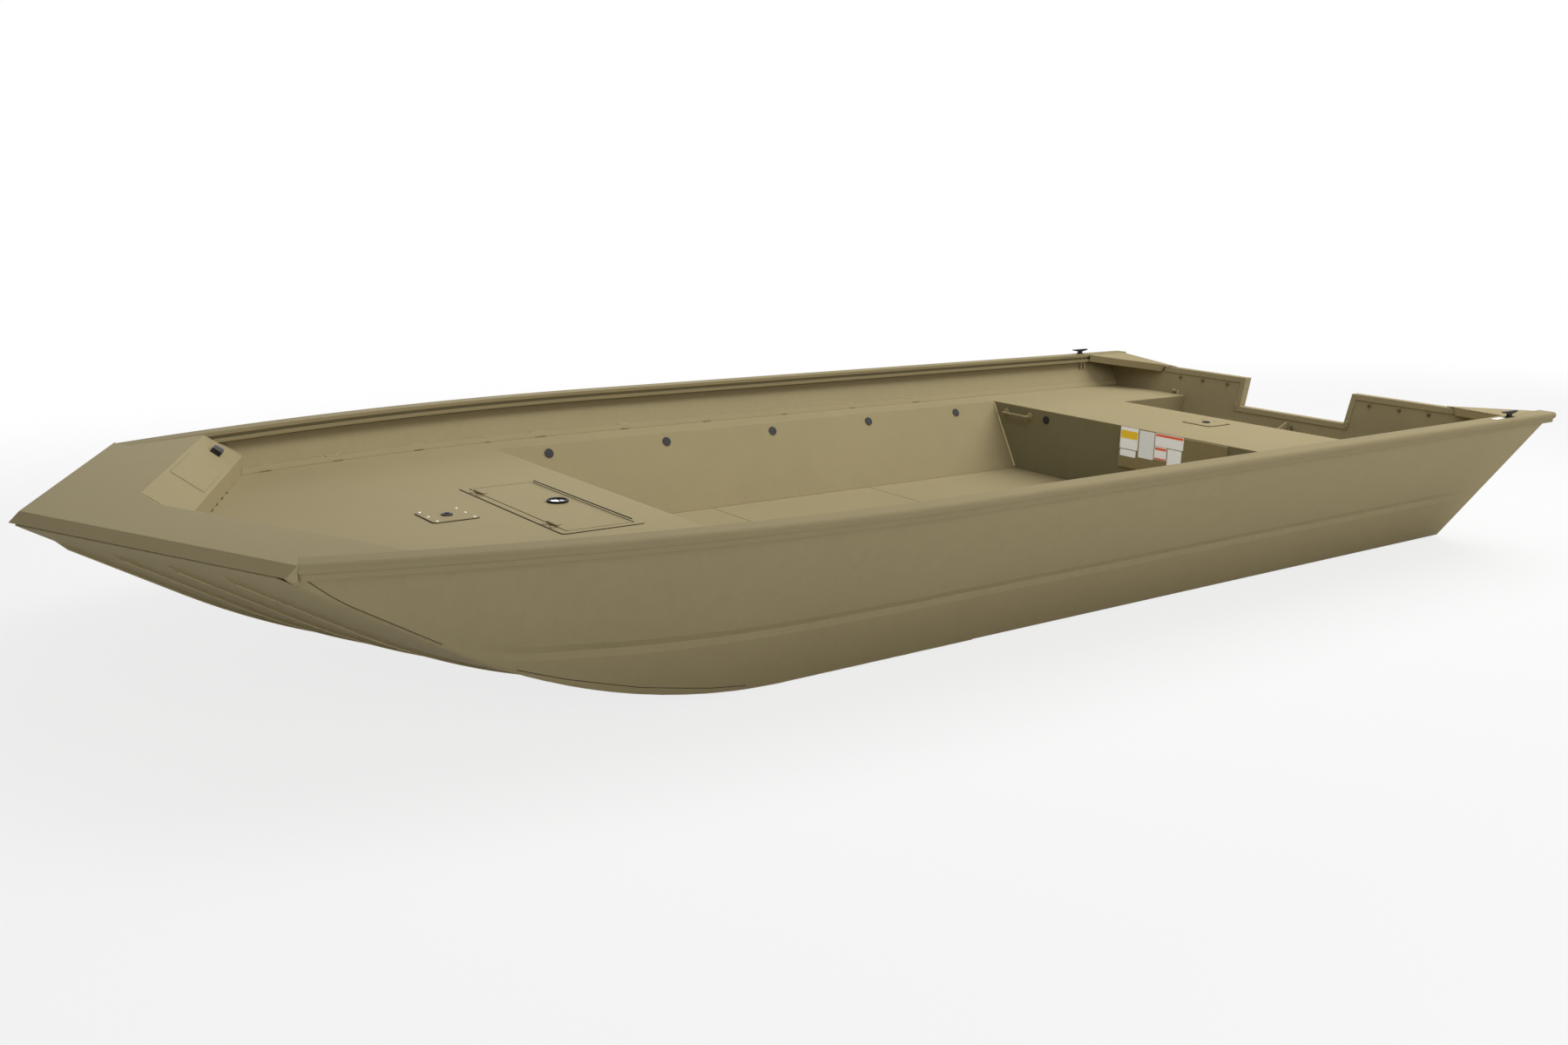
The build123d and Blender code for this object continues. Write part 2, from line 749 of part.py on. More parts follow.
def bulkhead_outline():
    foot = panel_offset(FLOOR) - FIT
    head = panel_offset(DECK - SHEET) - FIT
    Polygon(
        (-foot, up(FLOOR)),
        (foot, up(FLOOR)),
        (head, up(DECK - SHEET)),
        (-head, up(DECK - SHEET)),
        align=None,
    )


with BuildPart() as front_bulkhead:
    with BuildSketch(Plane.YZ.offset(st(FRONT_DECK_EDGE))):
        bulkhead_outline()
    extrude(amount=SHEET)
finish(front_bulkhead, "front_bulkhead")

with BuildPart() as rear_bulkhead:
    with BuildSketch(Plane.YZ.offset(st(REAR_DECK_EDGE))):
        bulkhead_outline()
        with Locations((BULKHEAD_PLUG[0], up(BULKHEAD_PLUG[1]))):
            Circle(PLUG_STEM + FIT, mode=Mode.SUBTRACT)
    extrude(amount=-SHEET)
finish(rear_bulkhead, "rear_bulkhead")

with BuildPart() as bulkhead_plug:
    with BuildSketch(Plane.YZ.offset(st(REAR_DECK_EDGE))):
        with Locations((BULKHEAD_PLUG[0], up(BULKHEAD_PLUG[1]))):
            Circle(PLUG_RADIUS)
    extrude(amount=PLUG_PROUD)
    with BuildSketch(Plane.YZ.offset(st(REAR_DECK_EDGE))):
        with Locations((BULKHEAD_PLUG[0], up(BULKHEAD_PLUG[1]))):
            Circle(PLUG_STEM)
    extrude(amount=-PLUG_DEPTH)
finish(bulkhead_plug, "bulkhead_plug")

with BuildPart() as rear_access_panel:
    with BuildSketch(Plane.YZ.offset(st(REAR_DECK_EDGE))):
        with Locations((PANEL_STARBOARD, up(PANEL_BASE))):
            Rectangle(
                PANEL_PORT - PANEL_STARBOARD,
                DECK - SHEET - PANEL_BASE,
                align=(Align.MIN, Align.MIN),
            )
    extrude(amount=PANEL_PROUD)
finish(rear_access_panel, "rear_access_panel")

with BuildPart() as grab_handle:
    face = st(REAR_DECK_EDGE)
    out = face + HANDLE_STANDOFF
    height = up(HANDLE_HEIGHT)
    low, high = HANDLE_OFFSETS
    with BuildLine():
        FilletPolyline(
            (face, low, height),
            (out, low, height),
            (out, high, height),
            (face, high, height),
            radius=HANDLE_BEND,
        )
    with BuildSketch(Plane(origin=(face, low, height), x_dir=(0, 1, 0), z_dir=(1, 0, 0))):
        Circle(HANDLE_ROD / 2)
    sweep()
    for offset in HANDLE_OFFSETS:
        with BuildSketch(Plane.YZ.offset(face)):
            with Locations((offset, height)):
                Circle(HANDLE_PAD)
        extrude(amount=SKIN)
finish(grab_handle, "grab_handle")


# Floor plates between the side panels.
FLOOR_LENGTH = FRONT_DECK_EDGE - REAR_DECK_EDGE
FLOOR_SEAMS = [REAR_DECK_EDGE + share * FLOOR_LENGTH for share in FLOOR_SHARES]
FLOOR_EDGES = (REAR_DECK_EDGE, *FLOOR_SEAMS, FRONT_DECK_EDGE)
for name, aft, fore in zip(("aft", "middle", "fore"), FLOOR_EDGES, FLOOR_EDGES[1:]):
    with BuildPart() as floor:
        start = aft + (FLOOR_GAP / 2 if aft in FLOOR_SEAMS else 0)
        stop = fore - (FLOOR_GAP / 2 if fore in FLOOR_SEAMS else 0)
        with BuildSketch(Plane.XY.offset(up(FLOOR - SHEET))):
            with at(start, 0):
                Rectangle(
                    stop - start,
                    2 * (FLOOR_HALF + LEAN_SKIN),
                    align=(Align.MIN, Align.CENTER),
                )
        extrude(amount=SHEET)
    finish(floor, f"floor_{name}")


# Transom: a thick raked panel with a notch for the motor.
def side_offset(height):
    head = STERN_HALF - SIDE_TUCK
    outer = BOTTOM_HALF + (head - BOTTOM_HALF) * height / SIDE_TOP
    return outer - FLARE_SHEET - GROOVE_LEAST - FIT


with BuildPart() as transom:
    add(raked_slab(TRANSOM_FOOT, TRANSOM_THICK, SHEET, TRANSOM_TOP))
    with BuildSketch(Plane.YZ.offset(st(CLEAR_AFT))):
        Polygon(
            (-side_offset(SHEET), up(SHEET)),
            (side_offset(SHEET), up(SHEET)),
            (side_offset(TRANSOM_TOP), up(TRANSOM_TOP)),
            (NOTCH_HALF_TOP, up(TRANSOM_TOP)),
            (NOTCH_HALF_FOOT, up(NOTCH_HEIGHT)),
            (-NOTCH_HALF_FOOT, up(NOTCH_HEIGHT)),
            (-NOTCH_HALF_TOP, up(TRANSOM_TOP)),
            (-side_offset(TRANSOM_TOP), up(TRANSOM_TOP)),
            align=None,
        )
    extrude(amount=CLEAR_AHEAD - CLEAR_AFT, mode=Mode.INTERSECT)
finish(transom, "transom")

# Channel over the transom's top edge, on each side of the notch and down into it.
with BuildPart() as transom_cap:
    foot = NOTCH_HEIGHT - 2 * CAP_LEG
    add(raked_slab(TRANSOM_FOOT - SKIN, TRANSOM_THICK + 2 * SKIN, foot, TRANSOM_TOP + SKIN))
    with BuildSketch(Plane.YZ.offset(st(CLEAR_AFT))):
        Polygon(
            (CAP_REACH, up(TRANSOM_TOP + SKIN)),
            (NOTCH_HALF_TOP - SKIN, up(TRANSOM_TOP + SKIN)),
            (NOTCH_HALF_FOOT - SKIN, up(NOTCH_HEIGHT + SKIN)),
            (SKIN - NOTCH_HALF_FOOT, up(NOTCH_HEIGHT + SKIN)),
            (SKIN - NOTCH_HALF_TOP, up(TRANSOM_TOP + SKIN)),
            (-CAP_REACH, up(TRANSOM_TOP + SKIN)),
            (-CAP_REACH, up(TRANSOM_TOP - CAP_LEG)),
            (-NOTCH_HALF_TOP - CAP_LEG, up(TRANSOM_TOP - CAP_LEG)),
            (-NOTCH_HALF_FOOT - CAP_LEG, up(NOTCH_HEIGHT - CAP_LEG)),
            (NOTCH_HALF_FOOT + CAP_LEG, up(NOTCH_HEIGHT - CAP_LEG)),
            (NOTCH_HALF_TOP + CAP_LEG, up(TRANSOM_TOP - CAP_LEG)),
            (CAP_REACH, up(TRANSOM_TOP - CAP_LEG)),
            align=None,
        )
    extrude(amount=CLEAR_AHEAD - CLEAR_AFT, mode=Mode.INTERSECT)
    add(transom.part, mode=Mode.SUBTRACT)
finish(transom_cap, "transom_cap")

# Well ahead of the transom: a front wall, two side walls and a floor.
with BuildPart() as stern_well:
    with BuildSketch(Plane.XY.offset(up(WELL_FLOOR))):
        with at(WELL_EDGE + SKIN, 0):
            Rectangle(
                WELL_EDGE,
                2 * (WELL_HALF + SKIN),
                align=(Align.MAX, Align.CENTER),
            )
    extrude(amount=DECK - SHEET - WELL_FLOOR)
    with BuildSketch(Plane.XY.offset(up(WELL_FLOOR + SKIN))):
        with at(WELL_EDGE, 0):
            Rectangle(WELL_EDGE, 2 * WELL_HALF, align=(Align.MAX, Align.CENTER))
    extrude(amount=DECK, mode=Mode.SUBTRACT)
    add(space.part, mode=Mode.INTERSECT)
finish(stern_well, "stern_well")

with BuildPart() as transom_knee:
    face = st(TRANSOM_FOOT + TRANSOM_THICK + FIT)
    base = WELL_FLOOR + SKIN
    with BuildSketch(Plane.XZ.offset(-KNEE_THICK / 2)):
        Polygon(
            (face - base * RAKE, up(base)),
            (face - base * RAKE + KNEE_LENGTH, up(base)),
            (face - base * RAKE + KNEE_LENGTH, up(base + 2 * KNEE_THICK)),
            (face - KNEE_HEIGHT * RAKE + 2 * KNEE_THICK, up(KNEE_HEIGHT)),
            (face - KNEE_HEIGHT * RAKE, up(KNEE_HEIGHT)),
            align=None,
        )
    extrude(amount=KNEE_THICK)
finish(transom_knee, "transom_knee")

with BuildPart() as drain_plug:
    lean = math.radians(TRANSOM_RAKE)
    outer_face = Plane(
        origin=(st(TRANSOM_FOOT) - DRAIN_HEIGHT * RAKE, DRAIN_OFFSET, up(DRAIN_HEIGHT)),
        x_dir=(0, 1, 0),
        z_dir=(-math.cos(lean), 0, -math.sin(lean)),
    )
    with BuildSketch(outer_face):
        Circle(DRAIN_RADIUS)
    extrude(amount=SKIN)
    with BuildSketch(outer_face):
        RegularPolygon(DRAIN_RADIUS * 0.6, 6)
    extrude(amount=3 * SKIN)
finish(drain_plug, "drain_plug")

# Stern gussets: three-cornered plates from the rail down to the transom's top.
with BuildPart() as gusset_port:
    edge = RAIL_WIDTH + 3 * FIT
    head = up(SHEER - GUSSET_SINK)
    seat = up(TRANSOM_TOP + 2 * SKIN + 2 * FIT)
    front = Vector(st(GUSSET_LENGTH), half_beam(GUSSET_LENGTH) - edge, head)
    back = Vector(st(GUSSET_BACK), half_beam(GUSSET_BACK) - edge, head)
    inner = Vector(st(TRANSOM_FOOT - TRANSOM_TOP * RAKE + GUSSET_LAP), GUSSET_REACH, seat)
    across = (inner - front).normalized()
    plate = Plane(origin=front, x_dir=across, z_dir=across.cross(back - front))
    with BuildSketch(plate):
        corners = [plate.to_local_coords(corner) for corner in (front, inner, back)]
        Polygon(*((corner.X, corner.Y) for corner in corners), align=None)
    extrude(amount=SKIN)
    # the turned-down flange stops short of the transom
    clear = TRANSOM_FOOT + TRANSOM_THICK + 3 * SKIN - TRANSOM_TOP * RAKE
    span = (inner - front).length * (front.X - st(clear)) / (front.X - inner.X)
    flange = Plane(origin=front, x_dir=across, z_dir=across.cross(Vector(0, 0, 1)))
    with BuildSketch(flange):
        Polygon(
            (3 * SKIN, -SKIN / 2),
            (span, -SKIN / 2),
            (span, -2 * SKIN),
            (span - GUSSET_FLANGE / 2, -GUSSET_FLANGE),
            (3 * SKIN, -GUSSET_FLANGE),
            align=None,
        )
    extrude(amount=SKIN)
finish(gusset_port, "gusset_port")
mirrored(gusset_port, "gusset_starboard")

# Stern cleats on the rails.
with BuildPart() as cleat_port:
    place = half_beam(CLEAT_STATION) - RAIL_WIDTH / 2
    with BuildSketch(Plane.XY.offset(up(SHEER))):
        with at(CLEAT_STATION, place):
            RectangleRounded(CLEAT_BASE, CLEAT_WIDTH, CLEAT_WIDTH / 3)
    extrude(amount=CLEAT_FOOT)
    with BuildSketch(Plane.XY.offset(up(SHEER))):
        with at(CLEAT_STATION, place):
            RectangleRounded(CLEAT_BASE * 0.7, CLEAT_WIDTH * 0.6, CLEAT_WIDTH / 5)
    extrude(amount=CLEAT_HEIGHT - HORN_TIP)
    with BuildSketch(Plane.XZ.offset(-place)):
        with BuildLine():
            top = up(SHEER + CLEAT_HEIGHT)
            half = CLEAT_LENGTH / 2
            middle = st(CLEAT_STATION)
            Line((middle - half, top), (middle + half, top))
            Line((middle + half, top), (middle + half, top - HORN_TIP))
            ThreePointArc(
                (middle + half, top - HORN_TIP),
                (middle, top - HORN_ROOT),
                (middle - half, top - HORN_TIP),
            )
            Line((middle - half, top - HORN_TIP), (middle - half, top))
        make_face()
    extrude(amount=HORN_HALF, both=True)
finish(cleat_port, "cleat_port")
mirrored(cleat_port, "cleat_starboard")

# Hatch frame: a rim on the deck with a neck through it and a gutter for the lid.
RIM_TOP = DECK + HATCH_PROUD
with BuildPart() as hatch_frame:
    with BuildSketch(Plane.XY.offset(up(DECK))):
        with at(*HATCH_CENTRE):
            RectangleRounded(*HATCH_SIZE, HATCH_CORNER)
    extrude(amount=HATCH_PROUD)
    with BuildSketch(Plane.XY.offset(up(DECK - HATCH_NECK))):
        with at(*HATCH_CENTRE):
            Rectangle(*NECK_SIZE)
    extrude(amount=HATCH_NECK)
    with BuildSketch(Plane.XY.offset(up(DECK - HATCH_NECK + SKIN))):
        with at(*HATCH_CENTRE):
            Rectangle(*MOUTH_SIZE)
    extrude(amount=2 * HATCH_NECK, mode=Mode.SUBTRACT)
    with BuildSketch(Plane.XY.offset(up(DECK - 2 * HATCH_NECK))):
        with at(*HATCH_CENTRE):
            Rectangle(MOUTH_SIZE[0] - 2 * BIN_FLANGE, MOUTH_SIZE[1] - 2 * BIN_FLANGE)
    extrude(amount=3 * HATCH_NECK, mode=Mode.SUBTRACT)
    # the outer knuckles and the pin of each hinge
    axis_station = HATCH_FORE - HATCH_RIM
    axis_height = RIM_TOP + HINGE_BARREL / 2 + HINGE_LIFT
    for offset in HINGE_OFFSETS:
        for side in (-1, 1):
            centre = offset + side * HINGE_KNUCKLE
            start = centre - HINGE_KNUCKLE / 2 + FIT
            with BuildSketch(Plane.XZ.offset(-start)):
                with Locations((st(axis_station), up(axis_height))):
                    Circle(HINGE_BARREL / 2)
                with Locations((st(axis_station), up(RIM_TOP))):
                    Rectangle(LEAF_LENGTH, HINGE_LEAF, align=(Align.MIN, Align.MIN))
            extrude(amount=-(HINGE_KNUCKLE - 2 * FIT))
        with BuildSketch(Plane.XZ.offset(HINGE_KNUCKLE * 1.4 - offset)):
            with Locations((st(axis_station), up(axis_height))):
                Circle(HINGE_PIN / 2)
        extrude(amount=-2.8 * HINGE_KNUCKLE)
finish(hatch_frame, "hatch_frame")

LID_SIZE = (MOUTH_SIZE[0] - 2 * LID_GAP, MOUTH_SIZE[1] - 2 * LID_GAP)
with BuildPart() as hatch_lid:
    with BuildSketch(Plane.XY.offset(up(RIM_TOP - LID_LIP))):
        with at(*HATCH_CENTRE):
            RectangleRounded(*LID_SIZE, LID_CORNER)
    extrude(amount=LID_LIP)
    with BuildSketch(Plane.XY.offset(up(RIM_TOP - LID_LIP))):
        with at(*HATCH_CENTRE):
            Rectangle(LID_SIZE[0] - 2 * SKIN, LID_SIZE[1] - 2 * SKIN)
    extrude(amount=LID_LIP - SKIN, mode=Mode.SUBTRACT)
    with BuildSketch(Plane.XY.offset(up(RIM_TOP))):
        with at(LATCH_STATION, 0):
            Circle(LATCH_BORE + FIT)
    extrude(amount=-LID_LIP, mode=Mode.SUBTRACT)
    for offset in HINGE_OFFSETS:
        start = offset - HINGE_KNUCKLE / 2
        with BuildSketch(Plane.XZ.offset(-start)):
            with Locations((st(axis_station), up(axis_height))):
                Circle(HINGE_BARREL / 2)
            with Locations((st(axis_station) - 2 * HINGE_LIFT, up(RIM_TOP))):
                Rectangle(LEAF_REACH, HINGE_LEAF, align=(Align.MAX, Align.MIN))
            with Locations((st(axis_station), up(axis_height))):
                Circle(HINGE_PIN / 2 + FIT, mode=Mode.SUBTRACT)
        extrude(amount=-HINGE_KNUCKLE)
finish(hatch_lid, "hatch_lid")

with BuildPart() as hatch_latch:
    with BuildSketch(Plane.XY.offset(up(RIM_TOP))):
        with at(LATCH_STATION, 0):
            Circle(LATCH_RADIUS)
            Circle(LATCH_BORE - LATCH_WALL, mode=Mode.SUBTRACT)
    extrude(amount=LATCH_PROUD)
    with BuildSketch(Plane.XY.offset(up(RIM_TOP))):
        with at(LATCH_STATION, 0):
            Circle(LATCH_BORE)
    extrude(amount=-LID_LIP)
    with BuildSketch(Plane.XY.offset(up(RIM_TOP - LATCH_SINK))):
        with at(LATCH_STATION, 0):
            Circle(LATCH_BORE - LATCH_WALL)
    extrude(amount=LATCH_PROUD + 2 * LATCH_SINK, mode=Mode.SUBTRACT)
finish(hatch_latch, "hatch_latch")

with BuildPart() as latch_paddle:
    with BuildSketch(Plane.XY.offset(up(RIM_TOP - LATCH_SINK))):
        with at(LATCH_STATION, 0):
            Circle(LATCH_BORE - LATCH_WALL - FIT)
    extrude(amount=LATCH_SINK + LATCH_PROUD - FIT)
    with BuildSketch(Plane.XY.offset(up(RIM_TOP - FIT))):
        with at(LATCH_STATION - PADDLE_SHIFT, 0):
            SlotOverall(PADDLE_GRIP, PADDLE_SLOT, rotation=90)
    extrude(amount=LATCH_PROUD + LATCH_SINK, mode=Mode.SUBTRACT)
finish(latch_paddle, "latch_paddle")

with BuildPart() as hatch_bin:
    rim = up(DECK - HATCH_NECK)
    with BuildSketch(Plane.XY.offset(rim)):
        with at(*HATCH_CENTRE):
            Rectangle(NECK_SIZE[0], NECK_SIZE[1])
    extrude(amount=-(DECK - HATCH_NECK - BIN_FLOOR))
    with BuildSketch(Plane.XY.offset(rim)):
        with at(*HATCH_CENTRE):
            Rectangle(NECK_SIZE[0] - 2 * SKIN, NECK_SIZE[1] - 2 * SKIN)
    extrude(amount=-(DECK - HATCH_NECK - BIN_FLOOR - SKIN), mode=Mode.SUBTRACT)
finish(hatch_bin, "hatch_bin")

# Seat bases: a square plate and a socket at the front and at the rear.
for name, station, offset in SEATS:
    with BuildPart() as plate:
        with BuildSketch(Plane.XY.offset(up(DECK))):
            with at(station, offset):
                RectangleRounded(SEAT_SIZE, SEAT_SIZE, SEAT_CORNER)
                Circle(SOCKET_BORE + SKIN + 2 * FIT, mode=Mode.SUBTRACT)
        extrude(amount=SEAT_PLATE)
    finish(plate, f"seat_plate_{name}")
    with BuildPart() as socket:
        top = up(DECK + SEAT_PLATE)
        with BuildSketch(Plane.XY.offset(top)):
            with at(station, offset):
                Circle(SOCKET_RADIUS)
        extrude(amount=SOCKET_PROUD)
        with BuildSketch(Plane.XY.offset(top)):
            with at(station, offset):
                Circle(SOCKET_BORE + SKIN)
        extrude(amount=-SOCKET_DEPTH)
        with BuildSketch(Plane.XY.offset(top + SOCKET_PROUD)):
            with at(station, offset):
                Circle(SOCKET_BORE)
        extrude(amount=-(SOCKET_DEPTH + SOCKET_PROUD - SKIN), mode=Mode.SUBTRACT)
    finish(socket, f"seat_socket_{name}")

# Fittings on the starboard half of the console.
CONSOLE_SLOPE = math.atan2(CONSOLE_DROP, CONSOLE_RUN)
ACCESS_OFFSET = CORNER_HALF - ACCESS_INSET
RECEPTACLE_OFFSET = CORNER_HALF - RECEPTACLE_INSET


def slope_band(start, stop, thick):
    """A band that lies on the console's slope, measured down from the fold."""
    run = math.cos(CONSOLE_SLOPE)
    drop = math.sin(CONSOLE_SLOPE)
    points = []
    for along, out in ((start, 0), (stop, 0), (stop, thick), (start, thick)):
        points.append(
            (
                st(FOLD) - along * run - out * drop,
                up(CAP_HEIGHT) - along * drop + out * run,
            )
        )
    Polygon(*points, align=None)


SLOPE_LENGTH = math.hypot(CONSOLE_RUN, CONSOLE_DROP)
STARBOARD_RULING = (-SWEEP, -1, 0)


def starboard_plane(offset):
    return Plane(origin=(-SWEEP * offset, -offset, 0), x_dir=(1, 0, 0), z_dir=(0, -1, 0))


with BuildPart() as access_plate:
    with BuildSketch(starboard_plane(ACCESS_OFFSET)):
        slope_band(ACCESS_MARGIN, SLOPE_LENGTH - ACCESS_MARGIN, ACCESS_PROUD)
    extrude(amount=ACCESS_LENGTH * SLANT, dir=STARBOARD_RULING)
finish(access_plate, "access_plate")

with BuildPart() as power_socket:
    inner = RECEPTACLE_OFFSET - RECEPTACLE_LENGTH / 2
    near = (SLOPE_LENGTH - RECEPTACLE_WIDTH) / 2
    with BuildSketch(starboard_plane(inner)):
        slope_band(near, near + RECEPTACLE_WIDTH, RECEPTACLE_PROUD)
    extrude(amount=RECEPTACLE_BODY * SLANT, dir=STARBOARD_RULING)
finish(power_socket, "power_socket")

with BuildPart() as power_socket_cover:
    inner = RECEPTACLE_OFFSET - RECEPTACLE_LENGTH / 2 + RECEPTACLE_BODY + FIT
    near = (SLOPE_LENGTH - COVER_WIDTH) / 2
    with BuildSketch(starboard_plane(inner)):
        slope_band(near, near + COVER_WIDTH, COVER_PROUD)
    extrude(amount=(RECEPTACLE_LENGTH - RECEPTACLE_BODY) * SLANT, dir=STARBOARD_RULING)
finish(power_socket_cover, "power_socket_cover")
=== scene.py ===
import math
import random

import bmesh
import bpy
from mathutils import Euler, Matrix, Vector
from mathutils.bvhtree import BVHTree


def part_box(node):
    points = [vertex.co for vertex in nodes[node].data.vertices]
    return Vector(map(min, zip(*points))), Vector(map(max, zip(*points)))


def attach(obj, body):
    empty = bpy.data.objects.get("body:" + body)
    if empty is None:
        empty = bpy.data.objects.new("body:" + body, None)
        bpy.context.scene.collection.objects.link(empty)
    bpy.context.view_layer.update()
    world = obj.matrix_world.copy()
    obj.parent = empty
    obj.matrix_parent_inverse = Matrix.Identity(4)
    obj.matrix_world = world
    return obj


# The boat lies along X with its bow at +X, port at +Y and the floor at Z = 0, in metres.
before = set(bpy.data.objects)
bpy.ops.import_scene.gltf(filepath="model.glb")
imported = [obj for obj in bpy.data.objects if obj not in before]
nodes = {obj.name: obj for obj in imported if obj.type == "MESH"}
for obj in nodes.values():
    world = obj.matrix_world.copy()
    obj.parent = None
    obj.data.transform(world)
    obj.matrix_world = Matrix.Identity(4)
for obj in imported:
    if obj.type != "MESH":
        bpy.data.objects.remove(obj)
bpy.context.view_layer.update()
HULL = "hull"
HATCH = "hatch"
SIDES = (("port", 1), ("starboard", -1))


# Colours, as linear values

KHAKI = (0.370, 0.309, 0.175)
# Painted shade: a darker, greener khaki for the rear bulkhead
PAINTED_SHADE_KHAKI = (0.275, 0.249, 0.148)
RUBBER_BLACK = (0.016, 0.016, 0.018)
CAP_BLACK = (0.030, 0.031, 0.036)
JOINT_BLACK = (0.020, 0.017, 0.010)
GREY_MOULDING = (0.115, 0.118, 0.128)
PALE_DUST = (0.30, 0.28, 0.23)
CHROME = (0.78, 0.78, 0.80)
ZINC = (0.86, 0.85, 0.81)
BRASS = (0.56, 0.40, 0.17)
LABEL_WHITE = (0.90, 0.90, 0.88)
LABEL_GREY = (0.78, 0.80, 0.79)
BAND_YELLOW = (0.83, 0.55, 0.03)
BAND_ORANGE = (0.78, 0.13, 0.05)


def toned(colour, share):
    """A colour made lighter or darker."""
    return tuple(min(1.0, channel * share) for channel in colour)


def shade(share):
    """The hull's khaki, lighter or darker."""
    return toned(KHAKI, share)


# Node groups that more than one finish uses

SKIN_OUTPUTS = (
    ("Colour", "NodeSocketColor"),
    ("Roughness", "NodeSocketFloat"),
    ("Height", "NodeSocketFloat"),
)
# The factor, the two colours and the result of a Mix node that mixes colours
MIX_INPUTS = (0, 6, 7)
MIX_OUTPUT = 2
EDGE_SAMPLES = 4
EDGE_GAIN = 6.0


def with_alpha(value):
    """A number as it is, or a colour as a socket takes it."""
    return (*value, 1) if isinstance(value, tuple) else value


def new_group(name, inputs, outputs):
    """A shader node group with named inputs, as (name, value), and named outputs."""
    group = bpy.data.node_groups.new(name, "ShaderNodeTree")
    for socket, value in inputs:
        kind = "NodeSocketColor" if isinstance(value, tuple) else "NodeSocketFloat"
        item = group.interface.new_socket(name=socket, in_out="INPUT", socket_type=kind)
        item.default_value = with_alpha(value)
    for socket, kind in outputs:
        group.interface.new_socket(name=socket, in_out="OUTPUT", socket_type=kind)
    return group, group.nodes.new("NodeGroupInput"), group.nodes.new("NodeGroupOutput")


def link(tree, source, target):
    """Links a socket to another, or sets it where the source is a number or a colour."""
    if isinstance(source, (int, float, tuple)):
        target.default_value = with_alpha(source)
    else:
        tree.links.new(source, target)


def object_place(tree):
    return tree.nodes.new("ShaderNodeTexCoord").outputs["Object"]


def noise(tree, vector, scale, detail=3.0, roughness=0.55):
    node = tree.nodes.new("ShaderNodeTexNoise")
    link(tree, vector, node.inputs["Vector"])
    link(tree, scale, node.inputs["Scale"])
    link(tree, detail, node.inputs["Detail"])
    link(tree, roughness, node.inputs["Roughness"])
    return node.outputs["Fac"]


def stretch(tree, vector, scale):
    """Object coordinates, scaled along each axis."""
    node = tree.nodes.new("ShaderNodeMapping")
    node.inputs["Scale"].default_value = scale
    link(tree, vector, node.inputs["Vector"])
    return node.outputs["Vector"]


def maths(tree, operation, *values):
    node = tree.nodes.new("ShaderNodeMath")
    node.operation = operation
    for value, socket in zip(values, node.inputs):
        link(tree, value, socket)
    return node.outputs[0]


def centred(tree, value):
    """A noise that goes both ways from zero."""
    return maths(tree, "SUBTRACT", value, 0.5)


def spread(tree, value, least, most):
    """A noise taken from its own range of 0 to 1 to another."""
    return maths(tree, "MULTIPLY_ADD", value, most - least, least)


def mix_colour(tree, factor, first, second, blend="MIX"):
    node = tree.nodes.new("ShaderNodeMix")
    node.data_type = "RGBA"
    node.blend_type = blend
    for number, value in zip(MIX_INPUTS, (factor, first, second)):
        link(tree, value, node.inputs[number])
    return node.outputs[MIX_OUTPUT]


def multiplied(tree, colour, tone):
    """A colour times a value that changes over the surface."""
    grey = tree.nodes.new("ShaderNodeCombineColor")
    for channel in ("Red", "Green", "Blue"):
        link(tree, tone, grey.inputs[channel])
    return mix_colour(tree, 1.0, colour, grey.outputs["Color"], "MULTIPLY")


def paint_group():
    """Sprayed satin paint: cloudy coats, faint vertical streaks and orange peel."""
    group, given, made = new_group(
        "sprayed_paint",
        (("Colour", KHAKI), ("Clouds", 0.10), ("Streaks", 0.05)),
        SKIN_OUTPUTS,
    )
    place = object_place(group)
    broad = centred(group, noise(group, place, scale=0.9, detail=4.0))
    fine = noise(group, place, scale=7.0, detail=5.0, roughness=0.62)
    clouds = maths(group, "MULTIPLY_ADD", centred(group, fine), 0.6, broad)
    clouds = maths(group, "MULTIPLY", clouds, given.outputs["Clouds"])
    upright = stretch(group, place, (38.0, 38.0, 1.4))
    streaks = centred(group, noise(group, upright, scale=1.0, detail=2.0))
    tone = maths(group, "MULTIPLY_ADD", streaks, given.outputs["Streaks"], clouds)
    colour = multiplied(group, given.outputs["Colour"], maths(group, "ADD", tone, 1.0))
    speck = spread(group, noise(group, place, scale=420.0, detail=2.0), 0.95, 1.05)
    link(group, multiplied(group, colour, speck), made.inputs["Colour"])
    link(group, spread(group, fine, 0.46, 0.62), made.inputs["Roughness"])
    link(group, noise(group, place, scale=260.0, detail=2.0), made.inputs["Height"])
    return group


def edge_group():
    """Finds edges by comparing a rounded normal with the true one, as a patchy mask for a
    painted highlight.
    """
    group, given, made = new_group(
        "edge_highlight_mask",
        (("Radius", 0.004),),
        (("Edge", "NodeSocketFloat"), ("Normal", "NodeSocketVector")),
    )
    rounded = group.nodes.new("ShaderNodeBevel")
    rounded.samples = EDGE_SAMPLES
    link(group, given.outputs["Radius"], rounded.inputs["Radius"])
    true = group.nodes.new("ShaderNodeNewGeometry")
    same = group.nodes.new("ShaderNodeVectorMath")
    same.operation = "DOT_PRODUCT"
    link(group, rounded.outputs["Normal"], same.inputs[0])
    link(group, true.outputs["Normal"], same.inputs[1])
    turn = maths(group, "SUBTRACT", 1.0, same.outputs["Value"])
    turn = maths(group, "MULTIPLY", turn, EDGE_GAIN)
    patches = noise(group, object_place(group), scale=60.0, detail=2.0, roughness=0.5)
    clamp = group.nodes.new("ShaderNodeClamp")
    link(group, maths(group, "MULTIPLY", turn, patches), clamp.inputs["Value"])
    link(group, clamp.outputs["Result"], made.inputs["Edge"])
    link(group, rounded.outputs["Normal"], made.inputs["Normal"])
    return group


